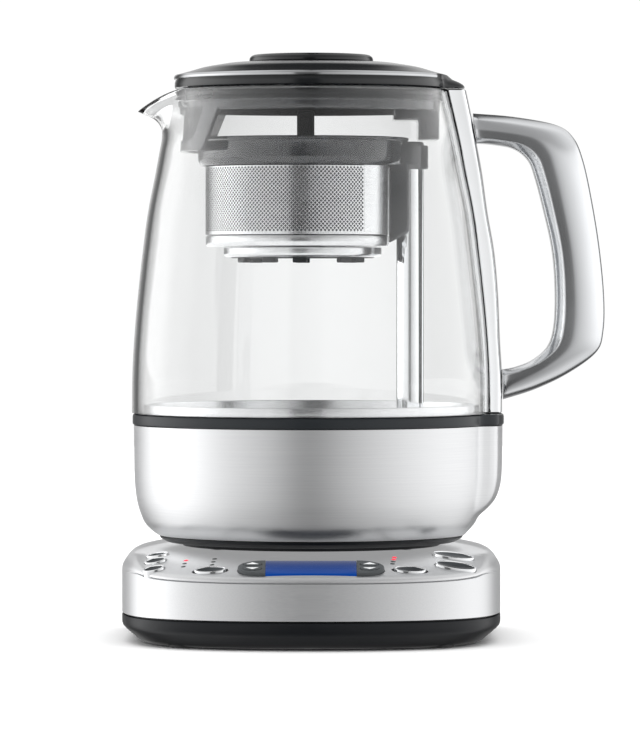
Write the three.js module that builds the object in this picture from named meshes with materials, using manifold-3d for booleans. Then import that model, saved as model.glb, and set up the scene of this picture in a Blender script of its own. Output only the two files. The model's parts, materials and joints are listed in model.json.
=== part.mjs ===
// Automatic tea maker: a glass jug with a lid and a tea basket on a lift,
// standing on a power base with a sloping control panel.
//
// Units are millimetres, +Z is up, the user stands on the -Y side and the
// handle is on the +X side. The part's origin is on the table, under the
// middle of its bounding box. Pieces are drawn about the jug's axis or the
// base's centre, and the whole group is shifted along X at the end.

import * as THREE from 'three';
import { mergeVertices } from 'three/addons/utils/BufferGeometryUtils.js';
import Module from 'manifold-3d';

const wasm = await Module();
wasm.setup();

// Clearances and the overrun of cutting tools
const seatGap = 0.3;
const slideGap = 0.35;
const overrun = 2;

// Power base
const baseHalfWidth = 84.4;
const baseHalfDepth = 91;
const baseSquareness = 5;
const trayFloorZ = 0.8;
const trayTopZ = 12.4;
const trayChamfer = 6.6;
const trayWall = 2.4;
const trayLipHeight = 5;
const footRadius = 8;
const footHeight = 3.2;
const footInset = 30;
const coverJointReveal = 0.8;
const coverWall = 1.4;
const creaseZ = 31.8;
const plateauZ = 41.5;
const panelTiltDegrees = 17.5;
const frontBow = 22;
const frontBowDepth = 60;
const panelBlend = 3;
const crownStart = 45;
const crownDrop = 3.4;
const frontEdgeRound = 1.6;
const sideEdgeRound = 6;

// Jug position and seat on the power base
const jugOffsetY = -4;
const hubHoleRadius = 26;
const hubFlangeRadius = 25;
const hubRadius = 12;
const hubTopZ = 54;
const hubWall = 2;

// Controls on the panel
const keyProud = 0.9;
const keyBevel = 0.5;
const keyFlange = 0.9;
const keyFlangeDepth = 1;
const keyGap = 0.3;
const keyFlangeDrop = 1.1;
const smallKeyWidth = 10.2;
const smallKeyHeight = 6.2;
const middleKeyWidth = 14;
const middleKeyHeight = 7.2;
const largeKeyWidth = 18.8;
const largeKeyHeight = 9.2;
const smallKey = { width: smallKeyWidth, height: smallKeyHeight };
const middleKey = { width: middleKeyWidth, height: middleKeyHeight };
const largeKey = { width: largeKeyWidth, height: largeKeyHeight };
const arrowKeyWidth = 8;
const arrowKeyHeight = 4.2;
const arrowKeyProud = 0.3;
const arrowKeyFlange = 0.4;
const arrowKeyX = 25.4;
const arrowKeyY = 2.7;
const displayWidth = 63.6;
const displayHeight = 16;
const displayProud = 1;
const displayDepth = 4.4;
const displayBevel = 0.5;
const screenWidth = 39.6;
const screenHeight = 13.6;
const screenThickness = 2;
const screenBelow = 0.35;
const displayY = -79.5;
const boardThickness = 1.6;
const boardWidth = 70;
const boardDepth = 11;
const lampLength = 9.4;
const lampWidth = 2.2;
const lampProud = 0.15;
const lampDepth = 3.4;

// Power module and cord gland inside the base
const moduleWidth = 46;
const moduleDepth = 34;
const moduleHeight = 22;
const moduleOffsetX = 34;
const moduleOffsetY = 42;
const glandRadius = 5.4;
const glandBore = 3.6;
const glandLength = 9;
const glandFlange = 1.6;
const glandFlangeThickness = 1.8;
const glandZ = 26;
const glandOffsetX = -44;

// Steel lower shell of the jug
const underRingRadius = 68.6;
const underRingHeight = 4.6;
const underRingEdge = 0.5;
const underRingTaper = 4;
const underFootRadius = 58;
const underFootHeight = 1.6;
const shellBottomGap = 0.3;
const shellTopZ = 95.6;
const shellRadius = 79.5;
const shellReach = 85.7;
const shellWall = 1.2;
const lobeHalfWidth = 29;
const lobeBlendDegrees = 9;

// Collar, seal, vessel floor and heater
const collarTopZ = 100.9;
const collarRadius = 80.1;
const collarReach = 86.3;
const collarInnerRadius = 75.4;
const floorThickness = 1.5;
const floorRim = 4;
const floorZ = 96.6;
const heaterRadius = 52;
const heaterTubeRadius = 3.2;
const heaterOpenDegrees = 76;
const heaterPlateThickness = 1.4;
const heaterPlateWidth = 14;
const sensorRadius = 4;
const sensorHeight = 9;
const socketRadius = 17;
const socketTopZ = 60;
const socketWall = 2;

// Glass
const glassRimZ = 244.7;
const glassRadius = 80.4;
const glassWall = 2.6;
const rimRound = 1;
const spoutReach = 78;
const spoutTipZ = 236;
const spoutRootZ = 223;
const spoutHalfDegrees = 27;

// Spine and handle
const spineHalfWidth = 13;
const spineFootReach = 85.5;
const spineTopZ = 245.7;
const spineCrown = 3;
const handleReach = 131.3;
const handleTopZ = 235.2;
const handleBottomZ = 107;
const handleRootX = 72.4;
const handleHalfDepth = 11;
const handleRootHalfDepth = 8.5;

// Lift post, screw, shuttle and drive
const postX = 44.3;
const postRadius = 6.15;
const postWall = 1.2;
const postFootDepth = 5;
const postCapHeight = 3;
const postTopSink = 1.7;
const shuttleSink = 5.5;
const screwCoreRadius = 2.4;
const liftScrewFootZ = 78;
const shuttleHeight = 11;
const gearModule = 1.25;
const wheelTeeth = 26;
const pinionTeeth = 10;
const gearHeight = 3.6;
const gearZ = 82.5;
const gearAddendumShare = 0.9;
const gearDedendumShare = 1.2;
const gearSlackShare = 0.16;
const gearPressureDegrees = 20;
const motorRadius = 10;
const motorHeight = 17;
const motorShaftRadius = 1.5;
const motorLift = 2;
const bearingRadius = 8;
const bracketThickness = 1.6;
const bracketHalfWidth = 15;

// Tea basket on the lift
const basketX = -3.9;
const rimRadius = 47.8;
const rimTopZ = 224;
const rimHeight = 12.5;
const rimBottomZ = rimTopZ - rimHeight;
const rimTaper = 2.4;
const drumRadius = 43.7;
const drumFlat = 38.3;
const drumWall = 0.9;
const drumHeight = 30.8;
const drumBottomZ = rimBottomZ - drumHeight;
const bandInset = 0.6;
const bandHeight = 5.4;
const bandBottomZ = drumBottomZ - bandHeight;
const floorCupRadius = 35.4;
const floorCupHeight = 4.9;
const floorCupBottomZ = bandBottomZ - floorCupHeight;
const clipRingRadius = 32;
const clipRingWidth = 4;
const clipRingHeight = 1.4;
const clipCount = 4;
const clipWidth = 7;
const clipHeight = 2.2;
const collarTabRadius = 8.1;
const collarTabSink = 3.4;
const collarTabHeight = 10.6;
const collarTabTopZ = rimTopZ - collarTabSink;
const collarTabBottomZ = collarTabTopZ - collarTabHeight;
const carriageBackX = 43.4;
const carriageHalfWidth = 9.4;
const carriageHeight = 42;
const carriageBottomZ = rimTopZ - carriageHeight;
const carriageSlope = 5;
const carriageTailX = 38.2;
const carriageTailHeight = 14;
const carriageTailBottomZ = carriageBottomZ - carriageTailHeight;
const carriageTailDepth = 4.3;
const magnetWidth = 1.8;
const magnetLength = 6.4;
const magnetHeight = 9;
const postTopZ = rimTopZ - postTopSink;
const shuttleTopZ = rimTopZ - shuttleSink;

// Lid of the tea basket
const teaLidThickness = 2;
const teaLidSink = 3;
const teaLidRimHeight = 2.6;
const teaStemWidth = 7.8;
const teaStemDepth = 10;
const teaStemHeight = 15;
const teaStemOffset = 1.4;

// Jug lid
const lidRadius = 61.2;
const lidTailReach = 68.8;
const lidTailHalfWidth = 14;
const lidBottomZ = 246;
const lidBandZ = 249.9;
const lidBandHeight = 2.3;
const lidBandThickness = 1.1;
const lidCrownRadius = 36.8;
const lidCrownZ = 257.6;
const lidWall = 2.4;
const lidKnobRadius = 27.8;
const lidKnobThickness = 3.8;
const lidKnobRound = 1.2;
const lidKnobNeckRadius = 20;
const lidKnobNeckHeight = 0.9;
const skirtRadius = 57.6;
const skirtWall = 2.2;
const skirtBottomZ = 235.6;
const guardBottomZ = 217.6;
const guardOverlap = 2;
const guardFlare = 1.2;
const guardHalfDegrees = 37;
const guardSlantDegrees = 11;
const filterHalfDegrees = 25;
const filterBottomZ = 222.6;
const filterTopZ = 236.8;
const filterThickness = 0.8;
const filterRows = 3;
const filterColumns = 8;
const filterHole = 2;
const guideNearX = 36.6;
const guideStepX = 47.6;
const guideFarX = 58.4;
const guideHalfWidth = 12;
const guideNearZ = 231.8;
const guideFarZ = 223;
const sealTopWidth = 1;
const sealFootWidth = 1.6;
const sealHeight = 4;

// Facets round a full turn
const roundSteps = 36;
const spoutSteps = 10;
const smallSteps = 12;
const hubSteps = 20;
const baseSteps = 44;
const drumSteps = 24;
const podEndSteps = 8;
const heaterTubeSides = 6;
const guardSteps = 12;
const filterHoleSides = 4;

// Materials
function finish(colour, roughness, metalness) {
  return new THREE.MeshStandardMaterial({ color: colour, roughness: roughness, metalness: metalness });
}

const brushedSteel = () => finish(0xc9cbcc, 0.35, 1);
const polishedMetal = () => finish(0xdfe1e3, 0.15, 1);
const castMetal = () => finish(0xc4c7ca, 0.28, 1);
const blackPlastic = () => finish(0x1d1f21, 0.5, 0);
const greyPlastic = () => finish(0x4a4e53, 0.45, 0);
const rubber = () => finish(0x2a2b2d, 0.85, 0);
const silicone = () => finish(0xb9bcbc, 0.7, 0);
const brass = () => finish(0xb9904e, 0.35, 1);
const nylon = () => finish(0xd8d3c4, 0.6, 0);
const lampLens = () => finish(0x8d9494, 0.3, 0);
const board = () => finish(0x1f5b35, 0.7, 0);

function glass() {
  const material = finish(0xeef4f4, 0.05, 0);
  material.transparent = true;
  material.opacity = 0.25;
  return material;
}

function displayBlue() {
  const material = finish(0x003c96, 0.2, 0);
  material.emissive = new THREE.Color(0x001c50);
  return material;
}

// Working with closed solids
function bare(geometry) {
  const plain = new THREE.BufferGeometry();
  plain.setAttribute('position', geometry.getAttribute('position').clone());
  if (geometry.index) {
    plain.setIndex(geometry.index.clone());
  }
  return mergeVertices(plain);
}

function cleanTriangles(index) {
  const kept = [];
  for (let i = 0; i < index.length; i += 3) {
    const [a, b, c] = [index[i], index[i + 1], index[i + 2]];
    if (a !== b && b !== c && c !== a) {
      kept.push(a, b, c);
    }
  }
  return kept;
}

function signedVolume(position, triangles) {
  let total = 0;
  const a = new THREE.Vector3();
  const b = new THREE.Vector3();
  const c = new THREE.Vector3();
  for (let i = 0; i < triangles.length; i += 3) {
    a.fromBufferAttribute(position, triangles[i]);
    b.fromBufferAttribute(position, triangles[i + 1]);
    c.fromBufferAttribute(position, triangles[i + 2]);
    total += a.dot(b.cross(c));
  }
  return total;
}

// Weld a geometry and turn its faces outwards
function closedSolid(geometry) {
  const welded = bare(geometry);
  const triangles = cleanTriangles(Array.from(welded.index.array));
  if (signedVolume(welded.getAttribute('position'), triangles) < 0) {
    triangles.reverse();
  }
  welded.setIndex(triangles);
  return welded;
}

function toBody(geometry) {
  const solid = closedSolid(geometry);
  return new wasm.Manifold(new wasm.Mesh({
    numProp: 3,
    vertProperties: new Float32Array(solid.getAttribute('position').array),
    triVerts: new Uint32Array(solid.index.array),
  }));
}

function fromBody(body) {
  const mesh = body.getMesh();
  const geometry = new THREE.BufferGeometry();
  geometry.setAttribute('position', new THREE.BufferAttribute(new Float32Array(mesh.vertProperties), 3));
  geometry.setIndex(Array.from(mesh.triVerts));
  return geometry;
}

function join(...geometries) {
  return fromBody(geometries.map(toBody).reduce((all, one) => all.add(one)));
}

function cut(geometry, ...tools) {
  return fromBody(tools.map(toBody).reduce((rest, tool) => rest.subtract(tool), toBody(geometry)));
}

function common(first, second) {
  return fromBody(toBody(first).intersect(toBody(second)));
}

// Skin a stack of rings; an endless stack closes on its first ring
function loft(rings, endless = false) {
  const count = rings[0].length;
  const points = rings.flat();
  const triangles = [];
  const bands = endless ? rings.length : rings.length - 1;
  for (let k = 0; k < bands; k += 1) {
    const low = k * count;
    const high = ((k + 1) % rings.length) * count;
    for (let j = 0; j < count; j += 1) {
      const next = (j + 1) % count;
      triangles.push(low + j, low + next, high + next);
      triangles.push(low + j, high + next, high + j);
    }
  }
  if (!endless) {
    const last = (rings.length - 1) * count;
    const startCentre = points.push(middle(rings[0])) - 1;
    const endCentre = points.push(middle(rings[rings.length - 1])) - 1;
    for (let j = 0; j < count; j += 1) {
      const next = (j + 1) % count;
      triangles.push(startCentre, next, j);
      triangles.push(endCentre, last + j, last + next);
    }
  }
  const geometry = new THREE.BufferGeometry();
  geometry.setAttribute('position', new THREE.Float32BufferAttribute(points.flat(), 3));
  geometry.setIndex(triangles);
  return closedSolid(geometry);
}

function middle(ring) {
  const sum = ring.reduce((all, p) => [all[0] + p[0], all[1] + p[1], all[2] + p[2]], [0, 0, 0]);
  return sum.map((value) => value / ring.length);
}

// Revolve [radius, height] points about Z
function revolve(points, steps = roundSteps) {
  const profile = points.map(([radius, height]) => new THREE.Vector2(radius, height));
  return closedSolid(new THREE.LatheGeometry(profile, steps).rotateX(Math.PI / 2));
}

function disc(radius, lowZ, highZ, steps = smallSteps) {
  return revolve([[0, lowZ], [radius, lowZ], [radius, highZ], [0, highZ]], steps);
}

function tube(radius, bore, lowZ, highZ, steps = smallSteps) {
  return revolve([[bore, lowZ], [radius, lowZ], [radius, highZ], [bore, highZ], [bore, lowZ]], steps);
}

function block(lowX, highX, lowY, highY, lowZ, highZ) {
  const box = new THREE.BoxGeometry(highX - lowX, highY - lowY, highZ - lowZ);
  return box.translate((lowX + highX) / 2, (lowY + highY) / 2, (lowZ + highZ) / 2);
}

function moved(geometry, x, y, z = 0) {
  return geometry.clone().translate(x, y, z);
}

// A flat outline in XY raised from lowZ to highZ
function raised(outline, lowZ, highZ, holes = []) {
  const shape = new THREE.Shape(outline.map(([x, y]) => new THREE.Vector2(x, y)));
  for (const hole of holes) {
    shape.holes.push(new THREE.Path(hole.map(([x, y]) => new THREE.Vector2(x, y))));
  }
  const geometry = new THREE.ExtrudeGeometry(shape, { depth: highZ - lowZ, bevelEnabled: false });
  return closedSolid(geometry.translate(0, 0, lowZ));
}

function turns(count) {
  return Array.from({ length: count }, (_, i) => (2 * Math.PI * i) / count);
}

function circle(radius, steps = smallSteps) {
  return turns(steps).map((angle) => [radius * Math.cos(angle), radius * Math.sin(angle)]);
}

function ease(value) {
  const held = Math.min(Math.max(value, 0), 1);
  return held * held * (3 - 2 * held);
}

function mix(first, second, share) {
  return first + (second - first) * share;
}

function smoothMinimum(first, second, blend) {
  const overlap = Math.max(blend - Math.abs(first - second), 0) / blend;
  return Math.min(first, second) - (overlap * overlap * blend) / 4;
}

const group = new THREE.Group();
const baseGroup = new THREE.Group();
const jugGroup = new THREE.Group();
jugGroup.position.set(0, jugOffsetY, 0);
group.add(baseGroup, jugGroup);

function addMesh(parent, name, geometry, material) {
  const mesh = new THREE.Mesh(geometry, material);
  mesh.name = name;
  parent.add(mesh);
  return mesh;
}

// Plan outline of the power base, drawn in by an inset
function baseReach(angle, inset) {
  const x = Math.abs(Math.cos(angle)) / (baseHalfWidth - inset);
  const y = Math.abs(Math.sin(angle)) / (baseHalfDepth - inset);
  return (x ** baseSquareness + y ** baseSquareness) ** (-1 / baseSquareness);
}

const frontHoldShare = 0.86;
const frontCornerShare = 0.35;
const keyTurnShare = 0.5;

// The front is bowed: its plan edge comes back towards both corners
function basePoint(angle, inset) {
  const reach = baseReach(angle, inset);
  const x = reach * Math.cos(angle);
  const y = reach * Math.sin(angle);
  const bow = frontBow * (x / baseHalfWidth) ** 2;
  return [x, y + bow * ease(-y / frontBowDepth)];
}

// Line that the panel slopes up from: it takes the bow and part of the corners' turn
function panelLineY(x) {
  const share = Math.min(Math.abs(x) / baseHalfWidth, frontHoldShare);
  const corner = (1 - share ** baseSquareness) ** (1 / baseSquareness);
  return frontBow * share ** 2 - baseHalfDepth * mix(1, corner, frontCornerShare);
}

// Angles crowded towards the four corners
function baseAngles() {
  return turns(baseSteps).map((angle) => angle + (cornerCrowdingShare * Math.sin(4 * angle)) / 4);
}

function baseRing(inset, z) {
  return baseAngles().map((angle) => [...basePoint(angle, inset), z]);
}

// Height of the top surface: a crowned plateau that falls to the front panel
function coverHeight(x, y) {
  const aside = Math.max(Math.abs(x) - crownStart, 0) / (baseHalfWidth - crownStart);
  const crown = crownDrop * aside * aside;
  const slope = Math.tan(THREE.MathUtils.degToRad(panelTiltDegrees));
  const panel = creaseZ + slope * (y - panelLineY(x)) - crown / 2;
  return smoothMinimum(plateauZ - crown, panel, panelBlend);
}

function edgeRound(y) {
  const frontShare = ease((-y / baseHalfDepth - edgeTurnShares[0]) / edgeTurnShares[1]);
  return mix(sideEdgeRound, frontEdgeRound, frontShare);
}

const cornerCrowdingShare = 0.5;
const edgeTurnShares = [0.42, 0.28];
const edgeSteps = 2;
const topInsetShares = [0.17, 0.33, 0.48];
const innerEdgeSteps = 1;
const innerInsetShares = [0.33, 0.48];

// Closed block with the cover's outer form, offset inwards by a wall
function coverForm(lowZ, wall, steps, insetShares) {
  const rings = [baseRing(wall, lowZ)];
  for (let k = 0; k <= steps; k += 1) {
    const turn = (Math.PI / 2) * (k / steps);
    rings.push(baseAngles().map((angle) => {
      const [, rimY] = basePoint(angle, wall);
      const radius = edgeRound(rimY);
      const [x, y] = basePoint(angle, wall + radius * (1 - Math.cos(turn)));
      return [x, y, coverHeight(x, y) - wall - radius * (1 - Math.sin(turn))];
    }));
  }
  for (const share of insetShares) {
    rings.push(baseAngles().map((angle) => {
      const [x, y] = basePoint(angle, wall + share * baseHalfWidth);
      return [x, y, coverHeight(x, y) - wall];
    }));
  }
  return loft(rings);
}

// Frame on the panel at a plan position: local Z stands out of the surface
function panelMatrix(x, y, sink = 0, turn = 0) {
  const step = coverWall;
  const slopeX = (coverHeight(x + step, y) - coverHeight(x - step, y)) / (2 * step);
  const slopeY = (coverHeight(x, y + step) - coverHeight(x, y - step)) / (2 * step);
  const up = new THREE.Vector3(-slopeX, -slopeY, 1).normalize();
  const across = new THREE.Vector3(1, 0, slopeX).normalize();
  const along = new THREE.Vector3().crossVectors(up, across);
  const matrix = new THREE.Matrix4().makeBasis(across, along, up);
  matrix.multiply(new THREE.Matrix4().makeRotationZ(turn));
  return matrix.setPosition(x - up.x * sink, y - up.y * sink, coverHeight(x, y) - up.z * sink);
}

function onPanel(geometry, x, y, turn = 0) {
  return geometry.clone().applyMatrix4(panelMatrix(x, y, 0, turn));
}

function keyTurn(x) {
  return keyTurnShare * Math.atan((2 * frontBow * x) / baseHalfWidth ** 2);
}

function oval(halfWidth, halfHeight, z) {
  return turns(smallSteps).map((a) => [halfWidth * Math.cos(a), halfHeight * Math.sin(a), z]);
}

// Table of the keys: plan place as shares of the base's half sizes, and face size
const keyPlaceShares = [
  ['key_start_auto', -0.8045, -0.514, smallKey],
  ['key_keep_warm', -0.813, -0.6115, smallKey],
  ['key_hot_water', -0.82, -0.7125, smallKey],
  ['key_tea_type', -0.521, -0.8495, middleKey],
  ['key_strength', 0.511, -0.8465, middleKey],
  ['key_basket', 0.743, -0.57, largeKey],
  ['key_start', 0.7515, -0.714, largeKey],
];
const keys = keyPlaceShares.map(([name, across, along, size]) => ({
  name: name,
  x: across * baseHalfWidth,
  y: along * baseHalfDepth,
  turn: keyTurn(across * baseHalfWidth),
  width: size.width,
  height: size.height,
}));
const arrowKeys = [
  { name: 'key_time_up', x: -arrowKeyX, y: arrowKeyY },
  { name: 'key_time_down', x: -arrowKeyX, y: -arrowKeyY },
  { name: 'key_heat_up', x: arrowKeyX, y: arrowKeyY },
  { name: 'key_heat_down', x: arrowKeyX, y: -arrowKeyY },
];
const lampPlaceShares = [
  ['lamp_bar_left', -0.657, -0.7145],
  ['lamp_bar_middle', -0.507, -0.736],
  ['lamp_bar_right', 0.4275, -0.7345],
];
const lamps = lampPlaceShares.map(([name, across, along]) => ({
  name: name,
  x: across * baseHalfWidth,
  y: along * baseHalfDepth,
}));

// A key: an oval cap with a retaining flange under the panel
function keyForm(width, height, proud, flange) {
  const [a, b] = [width / 2, height / 2];
  return loft([
    oval(a + flange, b + flange, keyFlangeTop - keyFlangeDepth),
    oval(a + flange, b + flange, keyFlangeTop),
    oval(a, b, keyFlangeTop),
    oval(a, b, proud - keyBevel),
    oval(a - keyBevel, b - keyBevel, proud),
  ]);
}

function keyHole(key, grow, lowZ, highZ) {
  const [a, b] = [key.width / 2 + grow, key.height / 2 + grow];
  return loft([oval(a, b, lowZ), oval(a, b, highZ)]);
}

// Outline of the display pod: as wide as the screen, with half an ellipse at each end
function podOutline(z, grow = 0) {
  const straight = screenWidth / 2;
  const end = displayWidth / 2 - straight + grow;
  const half = displayHeight / 2 + grow;
  const turn = (side) => Array.from({ length: podEndSteps + 1 }, (_, i) => {
    const angle = side * Math.PI * (i / podEndSteps - 1 / 2);
    return [side * (straight + end * Math.cos(angle)), half * Math.sin(angle), z];
  });
  return [...turn(1), ...turn(-1)];
}

function rectangle(width, height) {
  const [a, b] = [width / 2, height / 2];
  return [[-a, -b], [a, -b], [a, b], [-a, b]];
}

const panelDepth = coverWall + sideEdgeRound;
const keyFlangeTop = -coverWall - keyFlangeDrop;

function addPowerBase() {
  addTray();
  addFeet();
  addCover();
  addHub();
  addKeys();
  addDisplay();
  addLamps();
  addBaseInternals();
}

function trayForm(inset, lowZ, highZ) {
  return loft([
    baseRing(inset + trayChamfer, lowZ),
    baseRing(inset, lowZ + trayChamfer),
    baseRing(inset, highZ),
  ]);
}

function footPlaces() {
  const x = baseHalfWidth - footInset;
  const y = baseHalfDepth - footInset;
  return [[-x, -y], [x, -y], [x, y], [-x, y]];
}

// The tray: chamfered tub with a lip that locates the steel cover
function addTray() {
  const outer = trayForm(0, trayFloorZ, trayTopZ);
  const lip = loft([
    baseRing(coverWall + seatGap, trayTopZ - trayWall),
    baseRing(coverWall + seatGap, trayTopZ + trayLipHeight),
  ]);
  const hollow = loft([
    baseRing(trayChamfer + trayWall, trayFloorZ + footHeight + trayWall),
    baseRing(coverWall + trayWall, trayTopZ - trayWall),
    baseRing(coverWall + trayWall, trayTopZ + trayLipHeight + overrun),
  ]);
  const pockets = footPlaces().map(([x, y]) => (
    moved(disc(footRadius + seatGap, -overrun, footHeight + seatGap), x, y)
  ));
  addMesh(baseGroup, 'base_tray', cut(join(outer, lip), hollow, ...pockets), blackPlastic());
}

function addFeet() {
  footPlaces().forEach(([x, y], i) => {
    const foot = revolve([
      [0, 0],
      [footRadius - keyBevel, 0],
      [footRadius, keyBevel],
      [footRadius, footHeight],
      [0, footHeight],
    ], smallSteps);
    addMesh(baseGroup, `foot_${i + 1}`, moved(foot, x, y), rubber());
  });
}

function addCover() {
  const bottom = trayTopZ + coverJointReveal;
  const outer = coverForm(bottom, 0, edgeSteps, topInsetShares);
  const inner = coverForm(bottom - overrun, coverWall, innerEdgeSteps, innerInsetShares);
  const holeTool = (key) => keyHole(key, keyGap, -panelDepth, overrun);
  const holes = keys.map((key) => onPanel(holeTool(key), key.x, key.y, key.turn));
  const roomTool = (key) => keyHole(key, keyFlange + keyGap, -panelDepth, keyFlangeTop + keyGap);
  const rooms = keys.map((key) => onPanel(roomTool(key), key.x, key.y, key.turn));
  const display = loft([
    podOutline(-panelDepth, keyGap),
    podOutline(overrun, keyGap),
  ]);
  const slot = raised(rectangle(lampWidth + keyGap, lampLength + keyGap), -panelDepth, overrun);
  const lampSlots = lamps.map((lamp) => onPanel(slot, lamp.x, lamp.y));
  const hubHole = disc(hubHoleRadius, plateauZ - panelDepth, plateauZ + overrun, hubSteps);
  const hub = moved(hubHole, 0, jugOffsetY);
  const gland = disc(glandRadius + seatGap, -glandLength, glandLength)
    .rotateX(Math.PI / 2)
    .translate(glandOffsetX, baseHalfDepth, glandZ);
  const controls = [...holes, ...rooms, ...lampSlots, onPanel(display, 0, displayY)];
  addMesh(baseGroup, 'base_cover', cut(outer, inner, hub, gland, ...controls), brushedSteel());
}

// Round plug in the middle of the plateau that powers the jug
function addHub() {
  const flangeZ = plateauZ - coverWall - seatGap;
  const profile = [
    [0, flangeZ - hubWall],
    [hubHoleRadius + hubWall, flangeZ - hubWall],
    [hubHoleRadius + hubWall, flangeZ],
    [hubFlangeRadius, flangeZ],
    [hubFlangeRadius, plateauZ - seatGap],
    [hubRadius, plateauZ - seatGap],
    [hubRadius, hubTopZ - hubWall],
    [hubRadius - hubWall, hubTopZ],
    [0, hubTopZ],
  ];
  addMesh(baseGroup, 'power_hub', moved(revolve(profile, hubSteps), 0, jugOffsetY), blackPlastic());
}

function addKeys() {
  for (const key of keys) {
    const form = keyForm(key.width, key.height, keyProud, keyFlange);
    addMesh(baseGroup, key.name, onPanel(form, key.x, key.y, key.turn), polishedMetal());
  }
  for (const key of arrowKeys) {
    const proud = displayProud + arrowKeyProud;
    const form = keyForm(arrowKeyWidth, arrowKeyHeight, proud, arrowKeyFlange);
    addMesh(baseGroup, key.name, onPanel(moved(form, key.x, key.y), 0, displayY), greyPlastic());
  }
}

// Display pod: a capsule with a window and room for the arrow keys
function addDisplay() {
  const capsule = loft([
    podOutline(-displayDepth),
    podOutline(displayProud - displayBevel),
    podOutline(displayProud, -displayBevel),
  ]);
  const window = raised(rectangle(screenWidth, screenHeight), displayProud - screenThickness, overrun);
  const holes = arrowKeys.map((key) => moved(
    loft([
      oval(arrowKeyWidth / 2 + keyGap, arrowKeyHeight / 2 + keyGap, -displayDepth - overrun),
      oval(arrowKeyWidth / 2 + keyGap, arrowKeyHeight / 2 + keyGap, overrun),
    ]),
    key.x,
    key.y,
  ));
  const roomX = arrowKeyWidth / 2 + arrowKeyFlange + keyGap;
  const roomY = arrowKeyHeight / 2 + arrowKeyFlange + keyGap;
  const flangeRoom = arrowKeys.map((key) => moved(
    loft([
      oval(roomX, roomY, -displayDepth - overrun),
      oval(roomX, roomY, keyFlangeTop + keyGap),
    ]),
    key.x,
    key.y,
  ));
  const pod = cut(capsule, window, ...holes, ...flangeRoom);
  addMesh(baseGroup, 'display_pod', onPanel(pod, 0, displayY), blackPlastic());
  const screen = raised(
    rectangle(screenWidth - 2 * keyGap, screenHeight - 2 * keyGap),
    displayProud - screenThickness + seatGap,
    displayProud - screenBelow,
  );
  addMesh(baseGroup, 'display_screen', onPanel(screen, 0, displayY), displayBlue());
  const boardTop = -displayDepth - seatGap;
  const circuit = raised(rectangle(boardWidth, boardDepth), boardTop - boardThickness, boardTop);
  addMesh(baseGroup, 'control_board', onPanel(circuit, 0, displayY), board());
}

function addLamps() {
  for (const lamp of lamps) {
    const bar = raised(rectangle(lampWidth, lampLength), -lampDepth, lampProud);
    addMesh(baseGroup, lamp.name, onPanel(bar, lamp.x, lamp.y), lampLens());
  }
}

function addBaseInternals() {
  const floor = trayFloorZ + footHeight + trayWall + seatGap;
  const power = block(
    moduleOffsetX - moduleWidth / 2,
    moduleOffsetX + moduleWidth / 2,
    moduleOffsetY - moduleDepth / 2,
    moduleOffsetY + moduleDepth / 2,
    floor,
    floor + moduleHeight,
  );
  addMesh(baseGroup, 'power_module', power, blackPlastic());
  const gland = revolve([
    [glandBore, 0],
    [glandRadius, 0],
    [glandRadius, glandLength - glandFlangeThickness],
    [glandRadius + glandFlange, glandLength - glandFlangeThickness],
    [glandRadius + glandFlange, glandLength],
    [glandBore, glandLength],
    [glandBore, 0],
  ], smallSteps);
  gland.rotateX(Math.PI / 2).translate(glandOffsetX, glandFaceY(), glandZ);
  addMesh(baseGroup, 'cord_gland', gland, rubber());
}

// The gland's outer end lies flush with the back wall at its own X
function glandFaceY() {
  const share = (Math.abs(glandOffsetX) + glandRadius) / baseHalfWidth;
  return baseHalfDepth * (1 - share ** baseSquareness) ** (1 / baseSquareness) + coverWall / 2;
}

// Plan outline of the jug's lower pieces: a circle with a lobe at the handle
function lobeShare(angle) {
  const half = Math.asin(lobeHalfWidth / shellRadius);
  const blend = THREE.MathUtils.degToRad(lobeBlendDegrees);
  const off = Math.abs(Math.atan2(Math.sin(angle), Math.cos(angle)));
  return ease((half - off) / blend);
}

function lobeRing(radius, reach, z) {
  return lobeAngles().map((angle) => {
    const r = mix(radius, reach, lobeShare(angle));
    return [r * Math.cos(angle), r * Math.sin(angle), z];
  });
}

// Angles with extra steps across the lobe's two shoulders
function lobeAngles() {
  const half = Math.asin(lobeHalfWidth / shellRadius);
  const blend = THREE.MathUtils.degToRad(lobeBlendDegrees);
  const shoulder = [0, 0.25, 0.5, 0.75, 1].map((share) => half - blend * share);
  const round = [];
  const steps = roundSteps - 2 * shoulder.length;
  for (let i = 1; i < steps; i += 1) {
    round.push(mix(half, 2 * Math.PI - half, i / steps));
  }
  const mirrored = shoulder.map((angle) => -angle);
  return [0, ...[...shoulder].reverse(), ...round, ...mirrored];
}

// Shares of the shell's height, then of its radius and of the lobe's reach
const shellProfileShares = [
  [0, 0.866, 0.804],
  [0.03, 0.893, 0.82],
  [0.1, 0.936, 0.855],
  [0.17, 0.957, 0.878],
  [0.245, 0.973, 0.925],
  [0.32, 0.984, 0.961],
  [0.42, 0.992, 0.984],
  [0.55, 0.997, 0.996],
  [1, 1, 1],
];

function jugFootZ() {
  return plateauZ + seatGap;
}

function shellBottomZ() {
  return jugFootZ() + underRingHeight + shellBottomGap;
}

function addJug() {
  addUnderside();
  addShell();
  addCollar();
  addFloor();
  addHeater();
  addGlass();
  addSpine();
  addHandle();
  addPost();
  addDrive();
}

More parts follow.
